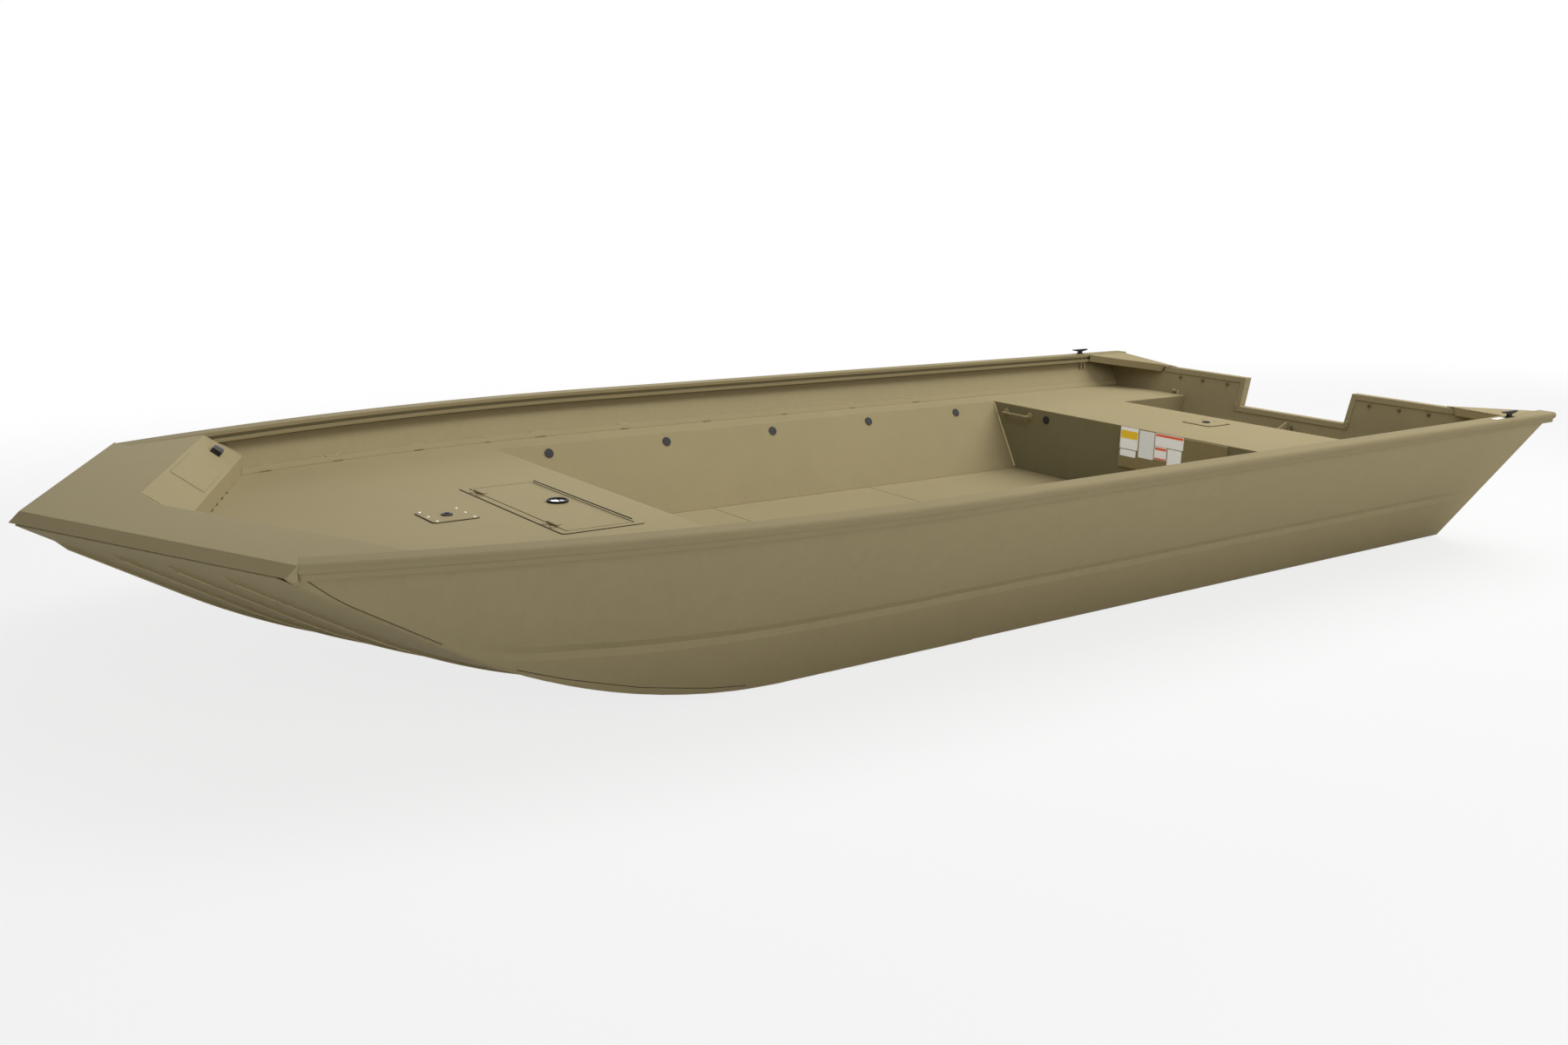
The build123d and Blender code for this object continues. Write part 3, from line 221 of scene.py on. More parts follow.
def moulding_group():
    """Fine spark-eroded texture of a moulded plastic, with a little pale dust."""
    group, given, made = new_group(
        "moulded_texture",
        (("Colour", CAP_BLACK), ("Scale", 900.0)),
        SKIN_OUTPUTS,
    )
    place = object_place(group)
    pits = noise(group, place, given.outputs["Scale"], detail=2.0, roughness=0.5)
    dust = noise(group, place, scale=45.0, detail=4.0)
    thin = maths(group, "MULTIPLY", dust, 0.10)
    dusty = mix_colour(group, thin, given.outputs["Colour"], PALE_DUST)
    link(group, dusty, made.inputs["Colour"])
    link(group, spread(group, dust, 0.36, 0.56), made.inputs["Roughness"])
    link(group, pits, made.inputs["Height"])
    return group


SPRAYED = paint_group()
EDGES = edge_group()
MOULDED = moulding_group()


# Finishes

BUMP_STRENGTH = 0.6
PEEL_DEPTH = 0.0004
# With more gloss than this, level paint turns grey under the lamps
PAINT_GLOSS = 0.006
# The painted highlight along folds and edges: how much lighter it is, and how strongly the edge
# mask lays it on
EDGE_LIGHTER = 1.35
EDGE_SHARE = 5
TARNISH = 0.78
SCRATCH_DEPTH = 0.0001
SMUDGE = 0.86
WRINKLE_DEPTH = 0.0005
# In the photograph the stickers stay bright in the shade, so their film glows a little
STICKER_GLOW = 0.24


def new_material(name):
    material = bpy.data.materials.new(name)
    material.use_nodes = True
    tree = material.node_tree
    return material, tree, tree.nodes["Principled BSDF"]


def place_group(tree, group, **values):
    node = tree.nodes.new("ShaderNodeGroup")
    node.node_tree = group
    for socket, value in values.items():
        node.inputs[socket].default_value = with_alpha(value)
    return node


def bump(tree, shader, height, distance, normal=None):
    node = tree.nodes.new("ShaderNodeBump")
    node.inputs["Distance"].default_value = distance
    node.inputs["Strength"].default_value = BUMP_STRENGTH
    link(tree, height, node.inputs["Height"])
    if normal is not None:
        link(tree, normal, node.inputs["Normal"])
    link(tree, node.outputs["Normal"], shader.inputs["Normal"])


def paint(name, colour=KHAKI, clouds=0.10, streaks=0.05, radius=0.004, lift=0.10):
    """Satin paint on plate, a little lighter along its folds and edges as a painted highlight.
    """
    material, tree, shader = new_material(name)
    skin = place_group(tree, SPRAYED, Colour=colour, Clouds=clouds, Streaks=streaks)
    edge = place_group(tree, EDGES, Radius=radius)
    # Painted highlight: the colour goes lighter along folds and edges, where they catch the
    # light
    wear_and_highlight = maths(tree, "MULTIPLY", edge.outputs["Edge"], lift * EDGE_SHARE)
    light = toned(colour, EDGE_LIGHTER)
    lit = mix_colour(tree, wear_and_highlight, skin.outputs["Colour"], light)
    link(tree, lit, shader.inputs["Base Color"])
    link(tree, skin.outputs["Roughness"], shader.inputs["Roughness"])
    shader.inputs["Specular IOR Level"].default_value = PAINT_GLOSS
    bump(tree, shader, skin.outputs["Height"], PEEL_DEPTH, edge.outputs["Normal"])
    return material


def plastic(name, colour, scale=900.0, shine=0.3):
    """Moulded plastic with a fine texture and a little dust."""
    material, tree, shader = new_material(name)
    skin = place_group(tree, MOULDED, Colour=colour, Scale=scale)
    link(tree, skin.outputs["Colour"], shader.inputs["Base Color"])
    link(tree, skin.outputs["Roughness"], shader.inputs["Roughness"])
    shader.inputs["Specular IOR Level"].default_value = shine
    bump(tree, shader, skin.outputs["Height"], PEEL_DEPTH)
    return material


def metal(name, colour, roughness, scratch=0.12):
    """Plated metal with fine polishing marks and a little tarnish."""
    material, tree, shader = new_material(name)
    place = object_place(tree)
    marks = noise(tree, stretch(tree, place, (900.0, 60.0, 900.0)), scale=1.0)
    stain = noise(tree, place, scale=55.0, detail=4.0)
    stained = mix_colour(tree, stain, colour, toned(colour, TARNISH))
    link(tree, stained, shader.inputs["Base Color"])
    rough = spread(tree, marks, roughness, roughness + scratch)
    link(tree, rough, shader.inputs["Roughness"])
    shader.inputs["Metallic"].default_value = 1.0
    bump(tree, shader, marks, SCRATCH_DEPTH)
    return material


def sticker_film(name, colour):
    """Printed vinyl film with faint grey smudges, slightly wrinkled, with a faint painted glow.
    """
    material, tree, shader = new_material(name)
    place = object_place(tree)
    smudge = noise(tree, stretch(tree, place, (1.0, 30.0, 160.0)), scale=1.0)
    wear_and_highlight = mix_colour(tree, smudge, colour, toned(colour, SMUDGE))
    link(tree, wear_and_highlight, shader.inputs["Base Color"])
    link(tree, spread(tree, smudge, 0.3, 0.5), shader.inputs["Roughness"])
    # Painted light: the film glows a little, so that it stays bright in the shade
    shader.inputs["Emission Color"].default_value = with_alpha(colour)
    shader.inputs["Emission Strength"].default_value = STICKER_GLOW
    bump(tree, shader, noise(tree, place, scale=40.0, detail=2.0), WRINKLE_DEPTH)
    return material


HULL_PAINT = paint("khaki_hull_paint", streaks=0.09)
# Painted light: the deck and inside paints are the hull's khaki made a little lighter
PAINTED_LIGHT_DECK = paint(
    "khaki_painted_light_deck", shade(1.05), clouds=0.12, streaks=0.0, radius=0.003, lift=0.14
)
PAINTED_LIGHT_INSIDE = paint("khaki_painted_light_inside", shade(1.04), clouds=0.12, lift=0.16)
# Painted shade: the rail's paint is the hull's khaki made a little darker
PAINTED_SHADE_RAIL = paint("khaki_painted_shade_rail", shade(0.93), streaks=0.02, radius=0.002, lift=0.04)
# These two are painted shade: darker than the real paint, because the lamps reach too far in
# there
PAINTED_SHADE_BULKHEAD = paint("khaki_painted_shade_bulkhead", PAINTED_SHADE_KHAKI, clouds=0.12, lift=0.16)
PAINTED_SHADE_WELL = paint("khaki_painted_shade_well", shade(0.82), clouds=0.12, lift=0.12)
# This one is a painted highlight, lighter, for edges that catch the light
PAINTED_HIGHLIGHT_EDGE = paint("khaki_painted_highlight_edge", shade(2.2), lift=0.0)
WELD_PAINT = paint("khaki_weld_paint", clouds=0.3, radius=0.001, lift=0.0)
# Painted shade: a darker weld paint for the welds at the feet of walls; the transom bolts take
# it too
PAINTED_SHADE_WELD = paint("khaki_painted_shade_weld", shade(0.55), clouds=0.3, radius=0.001, lift=0.0)
# A lighter khaki: the sealant's own colour, and a painted highlight on the upper welds and the
# cleat bolts
SEALANT_AND_HIGHLIGHT = paint("khaki_highlight_and_sealant", shade(1.22), clouds=0.2, radius=0.001, lift=0.0)
BLACK_CAP = plastic("black_moulded_cap", CAP_BLACK, shine=0.12)
BLACK_FITTING = plastic("black_deck_fitting", RUBBER_BLACK, shine=0.08)
# Black for open seams and joints, and for the beads round the deck plates, which are partly
# painted shade
SEAM_BLACK = plastic("black_seam_seal", JOINT_BLACK, shine=0.03)
GREY_COVER = plastic("grey_socket_cover", GREY_MOULDING, scale=700.0)
PADDLE_CHROME = metal("polished_paddle_chrome", CHROME, 0.08, scratch=0.05)
SCREW_ZINC = metal("bright_screw_zinc", ZINC, 0.30)
DRAIN_BRASS = metal("drain_brass", BRASS, 0.32)
STICKER_WHITE = sticker_film("white_vinyl", LABEL_WHITE)
STICKER_GREY = sticker_film("pale_vinyl", LABEL_GREY)
STICKER_YELLOW = sticker_film("yellow_vinyl", BAND_YELLOW)
STICKER_ORANGE = sticker_film("orange_vinyl", BAND_ORANGE)

FINISHES = {
    "hull_bottom": HULL_PAINT,
    "hull_side_port": HULL_PAINT,
    "hull_side_starboard": HULL_PAINT,
    "gunwale_port": PAINTED_SHADE_RAIL,
    "gunwale_starboard": PAINTED_SHADE_RAIL,
    "transom": HULL_PAINT,
    "bow_cap": PAINTED_LIGHT_DECK,
    "front_deck": PAINTED_LIGHT_DECK,
    "rear_deck": PAINTED_LIGHT_DECK,
    "floor_aft": PAINTED_LIGHT_DECK,
    "floor_middle": PAINTED_LIGHT_DECK,
    "floor_fore": PAINTED_LIGHT_DECK,
    "hatch_frame": PAINTED_LIGHT_DECK,
    "hatch_lid": PAINTED_LIGHT_DECK,
    "seat_plate_front": PAINTED_LIGHT_DECK,
    "seat_plate_rear": PAINTED_LIGHT_DECK,
    "rear_bulkhead": PAINTED_SHADE_BULKHEAD,
    "stern_well": PAINTED_SHADE_WELL,
    "panel_plugs_port": BLACK_CAP,
    "panel_plugs_starboard": BLACK_CAP,
    "bulkhead_plug": BLACK_CAP,
    "drain_plug": DRAIN_BRASS,
    "cleat_port": BLACK_FITTING,
    "cleat_starboard": BLACK_FITTING,
    "hatch_latch": BLACK_FITTING,
    "latch_paddle": PADDLE_CHROME,
    "seat_socket_front": BLACK_FITTING,
    "seat_socket_rear": BLACK_FITTING,
    "power_socket": BLACK_FITTING,
    "power_socket_cover": GREY_COVER,
}
for name, node in nodes.items():
    node.data.materials.clear()
    node.data.materials.append(FINISHES.get(name, PAINTED_LIGHT_INSIDE))


# The hull's own lines: stations ahead of the transom, offsets to port, heights over the plate

MIDSHIPS = 3.0205
FLOOR_GAP = 0.010
NOSE = 6.031
SWEEP = 0.4766
CHINE_HALF = 0.915
BOW_RADIUS = 2.25
BOW_RISE = 0.5633
BOW_LEAN = math.radians(30.6)
BOW_TANGENT = BOW_RADIUS * math.tan(BOW_LEAN / 2)
BOW_START = NOSE - BOW_RISE / math.tan(BOW_LEAN) - BOW_TANGENT
BOW_BEND = BOW_START + BOW_TANGENT * (1 + math.cos(BOW_LEAN))
DECK = 0.447


def at(station, across, height):
    return Vector((station - MIDSHIPS, across, height + FLOOR_GAP))


def bow_height(station):
    """Height of the bottom plate on the centreline, flat, then an arc, then straight."""
    if station > BOW_BEND:
        return BOW_RISE - (NOSE - station) * math.tan(BOW_LEAN)
    run = max(station - BOW_START, 0)
    return BOW_RADIUS - math.sqrt(BOW_RADIUS**2 - run**2)


def steps(first, last, count):
    return [first + (last - first) * k / count for k in range(count + 1)]


def between(first, last, step):
    """Points from one to the other, about a step apart."""
    first, last = Vector(first), Vector(last)
    count = max(1, round((last - first).length / step))
    return [first.lerp(last, k / count) for k in range(count + 1)]


def top_of(node):
    """The middle of a node's top."""
    low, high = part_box(node)
    middle = (low + high) / 2
    middle.z = high.z
    return middle


SKINS = {}


def meet(node, origin, direction):
    """Where a straight line from origin first meets a node of the frame, and its normal."""
    if node not in SKINS:
        shape = bmesh.new()
        shape.from_mesh(nodes[node].data)
        SKINS[node] = BVHTree.FromBMesh(shape)
        shape.free()
    place, normal = SKINS[node].ray_cast(Vector(origin), Vector(direction))[:2]
    if place is None:
        raise ValueError(f"nothing of {node} from {tuple(origin)}")
    if normal.dot(Vector(direction)) > 0:
        normal = -normal
    return place, normal


# What makes a piece, and the shapes that several pieces share

BEAD_FACETS = 2
SCREW_SIDES = 20
SCREW_TAPER = 0.93
RING_SIDES = 12
RING_STEPS = 48


def fit(name, shape, finish, body=HULL, smooth=True):
    """Makes the bmesh a piece that rides on one of the frame's bodies."""
    for face in shape.faces:
        face.smooth = smooth
    mesh = bpy.data.meshes.new(name)
    shape.to_mesh(mesh)
    shape.free()
    mesh.materials.append(finish)
    piece = bpy.data.objects.new(name, mesh)
    bpy.context.scene.collection.objects.link(piece)
    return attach(piece, body)


def bead(name, runs, width, finish, ripple=0.0):
    """A round bead along each run of points. Ripple makes it swell and neck like a weld."""
    line = bpy.data.curves.new(name, "CURVE")
    line.dimensions = "3D"
    line.bevel_depth = width / 2
    line.bevel_resolution = BEAD_FACETS
    line.use_fill_caps = True
    chance = random.Random(name)
    for run in runs:
        spline = line.splines.new("POLY")
        spline.points.add(len(run) - 1)
        for point, place in zip(spline.points, run):
            point.co = (*place, 1)
            point.radius = 1 + ripple * chance.uniform(-1, 1)
    drawn = bpy.data.objects.new(name, line)
    mesh = bpy.data.meshes.new_from_object(drawn)
    bpy.data.objects.remove(drawn)
    shape = bmesh.new()
    shape.from_mesh(mesh)
    bpy.data.meshes.remove(mesh)
    return fit(name, shape, finish)


def facing(place, normal):
    """The stand of something on a surface, its Z away from it and its X to port."""
    up = Vector(normal).normalized()
    side = up.cross(Vector((0, 1, 0))).normalized()
    fore = side.cross(up)
    turn = Matrix((fore, side, up)).transposed().to_4x4()
    return Matrix.Translation(place) @ turn


def add_rod(shape, stand, radius, length, sides, taper=1.0):
    """A round or many-sided rod, its middle on the stand."""
    return bmesh.ops.create_cone(
        shape, cap_ends=True, segments=sides, radius1=radius, radius2=radius * taper,
        depth=length, matrix=stand,
    )


def add_screw(shape, stand, radius, height, socket=True):
    """A domed head with a sunk hexagon socket."""
    middle = stand @ Matrix.Translation((0, 0, height / 2))
    made = add_rod(shape, middle, radius, height, SCREW_SIDES, SCREW_TAPER)
    up = stand.to_3x3() @ Vector((0, 0, 1))
    faces = {face for vert in made["verts"] for face in vert.link_faces}
    top = [face for face in faces if face.normal.dot(up) > 0.9]
    bmesh.ops.inset_region(shape, faces=top, thickness=radius * 0.22, depth=height * 0.25)
    if socket:
        bmesh.ops.inset_region(shape, faces=top, thickness=radius * 0.28)
        bmesh.ops.inset_region(shape, faces=top, thickness=radius * 0.04, depth=-height * 0.5)


def add_ball(shape, stand, half, around, levels):
    """A ball on the stand, drawn out or flattened to half a size along each axis."""
    bmesh.ops.create_uvsphere(
        shape, u_segments=around, v_segments=levels, radius=1,
        matrix=stand @ Matrix.Diagonal((*half, 1)),
    )


def add_ring(shape, stand, radius, thickness):
    """A round ring that lies level on the stand."""
    made = bmesh.ops.create_circle(shape, segments=RING_SIDES, radius=thickness / 2)
    upright = Matrix.Rotation(math.pi / 2, 3, "X")
    bmesh.ops.rotate(shape, cent=(0, 0, 0), matrix=upright, verts=made["verts"])
    bmesh.ops.translate(shape, vec=(radius, 0, 0), verts=made["verts"])
    edges = {edge for vert in made["verts"] for edge in vert.link_edges}
    bmesh.ops.spin(
        shape, geom=list(made["verts"]) + list(edges), cent=(0, 0, 0), axis=(0, 0, 1),
        angle=2 * math.pi, steps=RING_STEPS, use_merge=True,
    )
    bmesh.ops.remove_doubles(shape, verts=shape.verts, dist=1e-6)
    bmesh.ops.recalc_face_normals(shape, faces=shape.faces)
    bmesh.ops.transform(shape, matrix=stand, verts=shape.verts)


# Seams and beads along the hull

SEAM_POINTS = (
    ((5.538, 0.559), (5.476, 0.507), (5.341, 0.412), (5.159, 0.306)),
    ((4.964, 0.215), (4.814, 0.161), (4.564, 0.088), (4.314, 0.037), (4.160, 0.016)),
)
SEAM_STEPS = 8
SEAM_LIFT = 0.009
SEAM_PROUD = 0.0002
SEAM_WIDTH = 0.0022
CHINE_STATIONS = steps(3.2, 5.56, 90)
CHINE_PROUD = 0.001
CHINE_WIDTH = 0.005
STRAKE_COUNT = 4
STRAKE_SPACING = 0.2
STRAKE_HALF = 0.013
STRAKE_DEPTH = 0.010
STRAKE_STATIONS = steps(BOW_START + 0.1, NOSE - 0.115, 60)
STRAKE_EDGE_WIDTH = 0.0026


def side_seam(side, across):
    """The open seam between the side sheet and the bottom's turned edge, near the bow."""
    runs = []
    for reach in SEAM_POINTS:
        run = []
        for (first, foot), (last, top) in zip(reach, reach[1:]):
            for share in steps(0, 1, SEAM_STEPS)[:-1]:
                station = first + (last - first) * share
                height = foot + (top - foot) * share
                height = max(height, bow_height(station + SWEEP * CHINE_HALF) + SEAM_LIFT)
                outside = at(station, 2 * across, height)
                place, normal = meet(f"hull_side_{side}", outside, (0, -across, 0))
                run.append(place + normal * SEAM_PROUD)
        runs.append(run)
    bead(f"chine_seam_{side}", runs, SEAM_WIDTH, SEAM_BLACK)


def chine_bead(side, across):
    """The welded edge where the side sheet meets the bottom plate."""
    offset = across * (CHINE_HALF + CHINE_PROUD)
    run = [
        at(station, offset, bow_height(station + SWEEP * CHINE_HALF) + CHINE_PROUD)
        for station in CHINE_STATIONS
    ]
    bead(f"chine_bead_{side}", [run], CHINE_WIDTH, WELD_PAINT, ripple=0.12)


def strake_edges(side, across):
    """The bright pressed edges of the strakes, a painted highlight where they catch the light
    under the bow.
    """
    runs = []
    for number in range(STRAKE_COUNT):
        offset = number * STRAKE_SPACING + STRAKE_HALF
        runs.append([
            at(station - SWEEP * offset, across * offset, bow_height(station) - STRAKE_DEPTH)
            for station in STRAKE_STATIONS
        ])
    bead(f"strake_edges_{side}", runs, STRAKE_EDGE_WIDTH, PAINTED_HIGHLIGHT_EDGE)


for side, across in SIDES:
    side_seam(side, across)
    chine_bead(side, across)
    strake_edges(side, across)


# Seams, seals and screws on the decks

SEALED_PLATES = (("hatch_frame", 0.018), ("seat_plate_front", 0.014), ("seat_plate_rear", 0.014))
SEAL_GAP = 0.0006
SEAL_PROUD = 0.0005
SEAL_WIDTH = 0.0028
LID_SEAL_GAP = 0.0025
LID_SEAL_DEPTH = 0.0018
LID_SEAL_INSET = 0.012
LID_SEAL_WIDTH = 0.0044
SCREW_FORE = 0.066
SCREW_ACROSS = 0.073
# The height of a screw's head over its radius
SCREW_HEIGHT = 0.4
JOINTS = (("floor_middle", "floor_aft"), ("floor_fore", "floor_middle"))
JOINT_INSET = 0.01
JOINT_DEPTH = 0.001
JOINT_STEP = 0.2
JOINT_WIDTH = 0.003


def outline(node, height, corner):
    """The closed rounded outline of a level plate, grown by the seal's gap."""
    low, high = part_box(node)
    centre = (low + high) / 2
    half = (high - low) / 2
    run = []
    for quarter, (fore, port) in enumerate(((1, 1), (-1, 1), (-1, -1), (1, -1))):
        pivot = Vector((
            centre.x + fore * (half.x + SEAL_GAP - corner),
            centre.y + port * (half.y + SEAL_GAP - corner),
            height,
        ))
        for turn in steps(0, 1, 5):
            angle = math.pi / 2 * (quarter + turn)
            run.append(pivot + corner * Vector((math.cos(angle), math.sin(angle), 0)))
    return run + run[:1]


def deck_seals():
    """Black seals round the hatch and seat plates, partly painted shade at their feet, seen as
    dark lines on the deck.
    """
    level = DECK + FLOOR_GAP + SEAL_PROUD
    runs = [outline(node, level, corner) for node, corner in SEALED_PLATES]
    bead("deck_seals", runs, SEAL_WIDTH, SEAM_BLACK)
    # The lid's aft gap gets a black bead too, partly a seal and partly painted shade in the gap
    low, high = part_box("hatch_lid")
    x, level = low.x - LID_SEAL_GAP, high.z - LID_SEAL_DEPTH
    run = [Vector((x, y, level)) for y in (low.y + LID_SEAL_INSET, high.y - LID_SEAL_INSET)]
    bead("lid_seal", [run], LID_SEAL_WIDTH, SEAM_BLACK)


def plate_screws(node, radius, finish):
    """Screws in a seat plate, in rows of three along two of its sides."""
    shape = bmesh.new()
    top = top_of(node)
    for fore in (-1, 1):
        for port in (-1, 0, 1):
            place = Vector((top.x + fore * SCREW_FORE, top.y + port * SCREW_ACROSS, top.z))
            add_screw(shape, Matrix.Translation(place), radius, SCREW_HEIGHT * radius)
    fit(f"screws_of_{node}", shape, finish, smooth=False)


def floor_seams():
    """The narrow dark joints between the floor plates."""
    runs = []
    for fore, aft in JOINTS:
        low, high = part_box(aft)
        x, level = (high.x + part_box(fore)[0].x) / 2, high.z - JOINT_DEPTH
        ends = [(x, y, level) for y in (low.y + JOINT_INSET, high.y - JOINT_INSET)]
        runs.append(between(*ends, JOINT_STEP))
    bead("floor_seams", runs, JOINT_WIDTH, SEAM_BLACK)


deck_seals()
plate_screws("seat_plate_front", 0.0046, SCREW_ZINC)
plate_screws("seat_plate_rear", 0.0040, PAINTED_LIGHT_DECK)
floor_seams()


# The hatch latch, in a black bezel

BEZEL_RADIUS = 0.0350
BEZEL_THICKNESS = 0.0085
BEZEL_LIFT = 0.0005
WELL_FORE = -0.011
WELL_PORT = 0.008
WELL_TURN = 0.6
WELL_HALF = (0.0095, 0.0125, 0.0012)
LEVER_SHIFT = (0.001, 0.002, 0.0008)
LEVER_HALF = (0.005, 0.0065, 0.0012)


def latch_details():
    """The latch's black bezel, and the finger well and lever in its bright paddle."""
    top = top_of("hatch_latch")
    shape = bmesh.new()
    stand = Matrix.Translation((top.x, top.y, top.z + BEZEL_LIFT))
    add_ring(shape, stand, BEZEL_RADIUS, BEZEL_THICKNESS)
    fit("latch_bezel", shape, BLACK_FITTING, HATCH)
    top = top_of("latch_paddle")
    shape = bmesh.new()
    stand = Matrix.Translation((top.x + WELL_FORE, top.y + WELL_PORT, top.z))
    stand = stand @ Matrix.Rotation(WELL_TURN, 4, "Z")
    add_ball(shape, stand, WELL_HALF, 32, 12)
    fit("latch_finger_well", shape, BLACK_FITTING, HATCH)
    shape = bmesh.new()
    add_ball(shape, stand @ Matrix.Translation(LEVER_SHIFT), LEVER_HALF, 24, 10)
    fit("latch_lever", shape, PADDLE_CHROME, HATCH)


latch_details()


# Transom bolts, and the caulk and welds round the rear deck

INSIDE, OUTSIDE = 0.6, -0.4
BOLT_OFFSETS = (0.738, 0.586, 0.424, -0.424, -0.586, -0.738)
BOLT_LEVEL = 0.54
# Each a radius and a height
WASHER = (0.0105, 0.002)
BOLT_HEAD = (0.0075, 0.0055)
LOW_BOLT_HEAD = (0.010, 0.006)
LOW_BOLT_PLACE = (0.03, 0.373)
STITCH_STEP = 0.005
STITCH_WANDER = 0.0012
DECK_WELD_STATIONS = (1.62, 2.05, 2.48, 2.92, 3.36, 3.78, 4.05, 4.36, 4.72, 5.02)
DECK_WELD_LIFT = 0.0025
DECK_WELD_RIPPLE = 0.38
SPOT_COUNT = 8
SPOT_STATION = 4.9
SPOT_LIFT = 0.002
SPOT_FIRST = 0.10
SPOT_SPACING = 0.085
SPOT_LENGTH = 0.022
SPOT_WIDTH = 0.007
CAULK_PROUD = 0.004
CAULK_CORNER = 0.730
CAULK_LEVEL = 0.463
CAULK_HEIGHTS = steps(0.36, 0.470, 9)
CAULK_OFFSETS = steps(0.725, 0.765, 5)
CAULK_WIDTH = 0.013
NOTCH_WELD = (0.334, 0.425)
NOTCH_WELD_RUN = Vector((0.006, 0, 0.026))
NOTCH_WELD_STEP = 0.006
BULKHEAD_STATION = 1.2300
BULKHEAD_HEIGHTS = steps(0.130, 0.440, 24)
BULKHEAD_BEAD_LIFT = 0.001
BULKHEAD_BEAD_WIDTH = 0.0085


def on_transom(across, height):
    """Where a line from inside the boat meets the transom, and its normal there."""
    return meet("transom", at(INSIDE, across, height), (-1, 0, 0))


def transom_bolts():
    """Bolt heads on washers on both faces of the transom, and one low head inside."""
    shape = bmesh.new()
    for across in BOLT_OFFSETS:
        for reach, way in ((INSIDE, -1), (OUTSIDE, 1)):
            place, normal = meet("transom", at(reach, across, BOLT_LEVEL), (way, 0, 0))
            stand = facing(place, normal)
            add_screw(shape, stand, *WASHER, socket=False)
            add_screw(shape, stand @ Matrix.Translation((0, 0, WASHER[1])), *BOLT_HEAD)
    place, normal = on_transom(*LOW_BOLT_PLACE)
    add_screw(shape, facing(place, normal), *LOW_BOLT_HEAD)
    fit("transom_bolts", shape, PAINTED_SHADE_WELD, smooth=False)


def stitch(first, last, step=STITCH_STEP):
    """Points of a short hand-laid weld, which wander a little."""
    chance = random.Random(repr(tuple(first)))
    return [
        point + Vector([chance.uniform(-STITCH_WANDER, STITCH_WANDER) for _ in range(3)])
        for point in between(first, last, step)
    ]


def deck_welds(side, across):
    """Stitches that hold the deck's edge strip to the side sheet and to the deck, the upper ones
    lighter as painted highlight, the lower darker as painted shade.
    """
    # name, sheet, height over the deck, length, width and finish
    rows = (
        ("upper_welds", f"hull_side_{side}", 0.0225, 0.055, 0.006, SEALANT_AND_HIGHLIGHT),
        ("lower_welds", f"deck_edge_{side}", 0.0015, 0.035, 0.005, PAINTED_SHADE_WELD),
    )
    chance = random.Random(side)
    for name, sheet, rise, length, width, finish in rows:
        runs = []
        for station in DECK_WELD_STATIONS:
            ends = [
                meet(sheet, at(station + shift, 0.5 * across, DECK + rise), (0, across, 0))[0]
                - Vector((0, DECK_WELD_LIFT * across, 0))
                for shift in (0, length * chance.uniform(0.5, 1.6))
            ]
            runs.append(stitch(*ends))
        bead(f"{name}_{side}", runs, width, finish, DECK_WELD_RIPPLE)


def console_welds():
    """Small weld spots along the foot of the bow console, darker as painted shade."""
    runs = []
    for across in (-1, 1):
        for number in range(SPOT_COUNT):
            offset = across * (SPOT_FIRST + SPOT_SPACING * number)
            ends = [
                meet("bow_console", at(SPOT_STATION, start, DECK + SPOT_LIFT), (1, 0, 0))[0]
                for start in (offset, offset + SPOT_LENGTH * across)
            ]
            runs.append(stitch(*ends))
    bead("console_foot_welds", runs, SPOT_WIDTH, PAINTED_SHADE_WELD, ripple=0.4)


def corner_caulk(across):
    """Lumpy sealant up the transom at the rear deck's corner, and along the deck there."""
    upright = [on_transom(across * CAULK_CORNER, height)[0] for height in CAULK_HEIGHTS]
    level = [on_transom(across * offset, CAULK_LEVEL)[0] for offset in CAULK_OFFSETS]
    return [
        [
            point + Vector((CAULK_PROUD, 0.002 * (number % 2), 0))
            for number, point in enumerate(upright)
        ],
        [
            point + Vector((CAULK_PROUD, 0, 0.003 * (number % 2)))
            for number, point in enumerate(level)
        ],
    ]


def stern_welds():
    """The sealant at both corners, and a stitch beside each end of the motor notch."""
    runs = corner_caulk(1) + corner_caulk(-1)
    across, height = NOTCH_WELD
    for way in (-1, 1):
        foot = on_transom(way * across, height)[0]
        start = foot + Vector((CAULK_PROUD, 0, 0))
        runs.append(stitch(start, foot + NOTCH_WELD_RUN, NOTCH_WELD_STEP))
    bead("stern_caulk", runs, CAULK_WIDTH, SEALANT_AND_HIGHLIGHT, ripple=0.45)


def corner_beads():
    """Fine beads down the corners where the side panels meet the rear bulkhead, in light paint
    as a painted highlight.
    """
    runs = []
    for side, across in reversed(SIDES):
        inboard = Vector((0, -BULKHEAD_BEAD_LIFT * across, 0))
        runs.append([
            meet(f"side_panel_{side}", at(BULKHEAD_STATION, 0, height), (0, across, 0))[0]
            + inboard
            for height in BULKHEAD_HEIGHTS
        ])
    bead(
        "bulkhead_corner_beads", runs, BULKHEAD_BEAD_WIDTH, PAINTED_HIGHLIGHT_EDGE, ripple=0.15,
    )


transom_bolts()
for side, across in SIDES:
    deck_welds(side, across)
console_welds()
stern_welds()
corner_beads()


# Grab handle's grip and the cleats' small fittings

GRIP_INSET = 0.030
GRIP_BACK = 0.006
GRIP_THICKNESS = 0.0155
FOOT_INSET = 0.017
FOOT_PROUD = 0.003
FOOT_HALF = (0.0205, 0.0205, 0.009)
RAIL_LEVEL = 0.612
CLEAT_BOLT_SHIFT = 0.014
CLEAT_BOLT_PROUD = 0.003
CLEAT_BOLT_DROP = 0.022
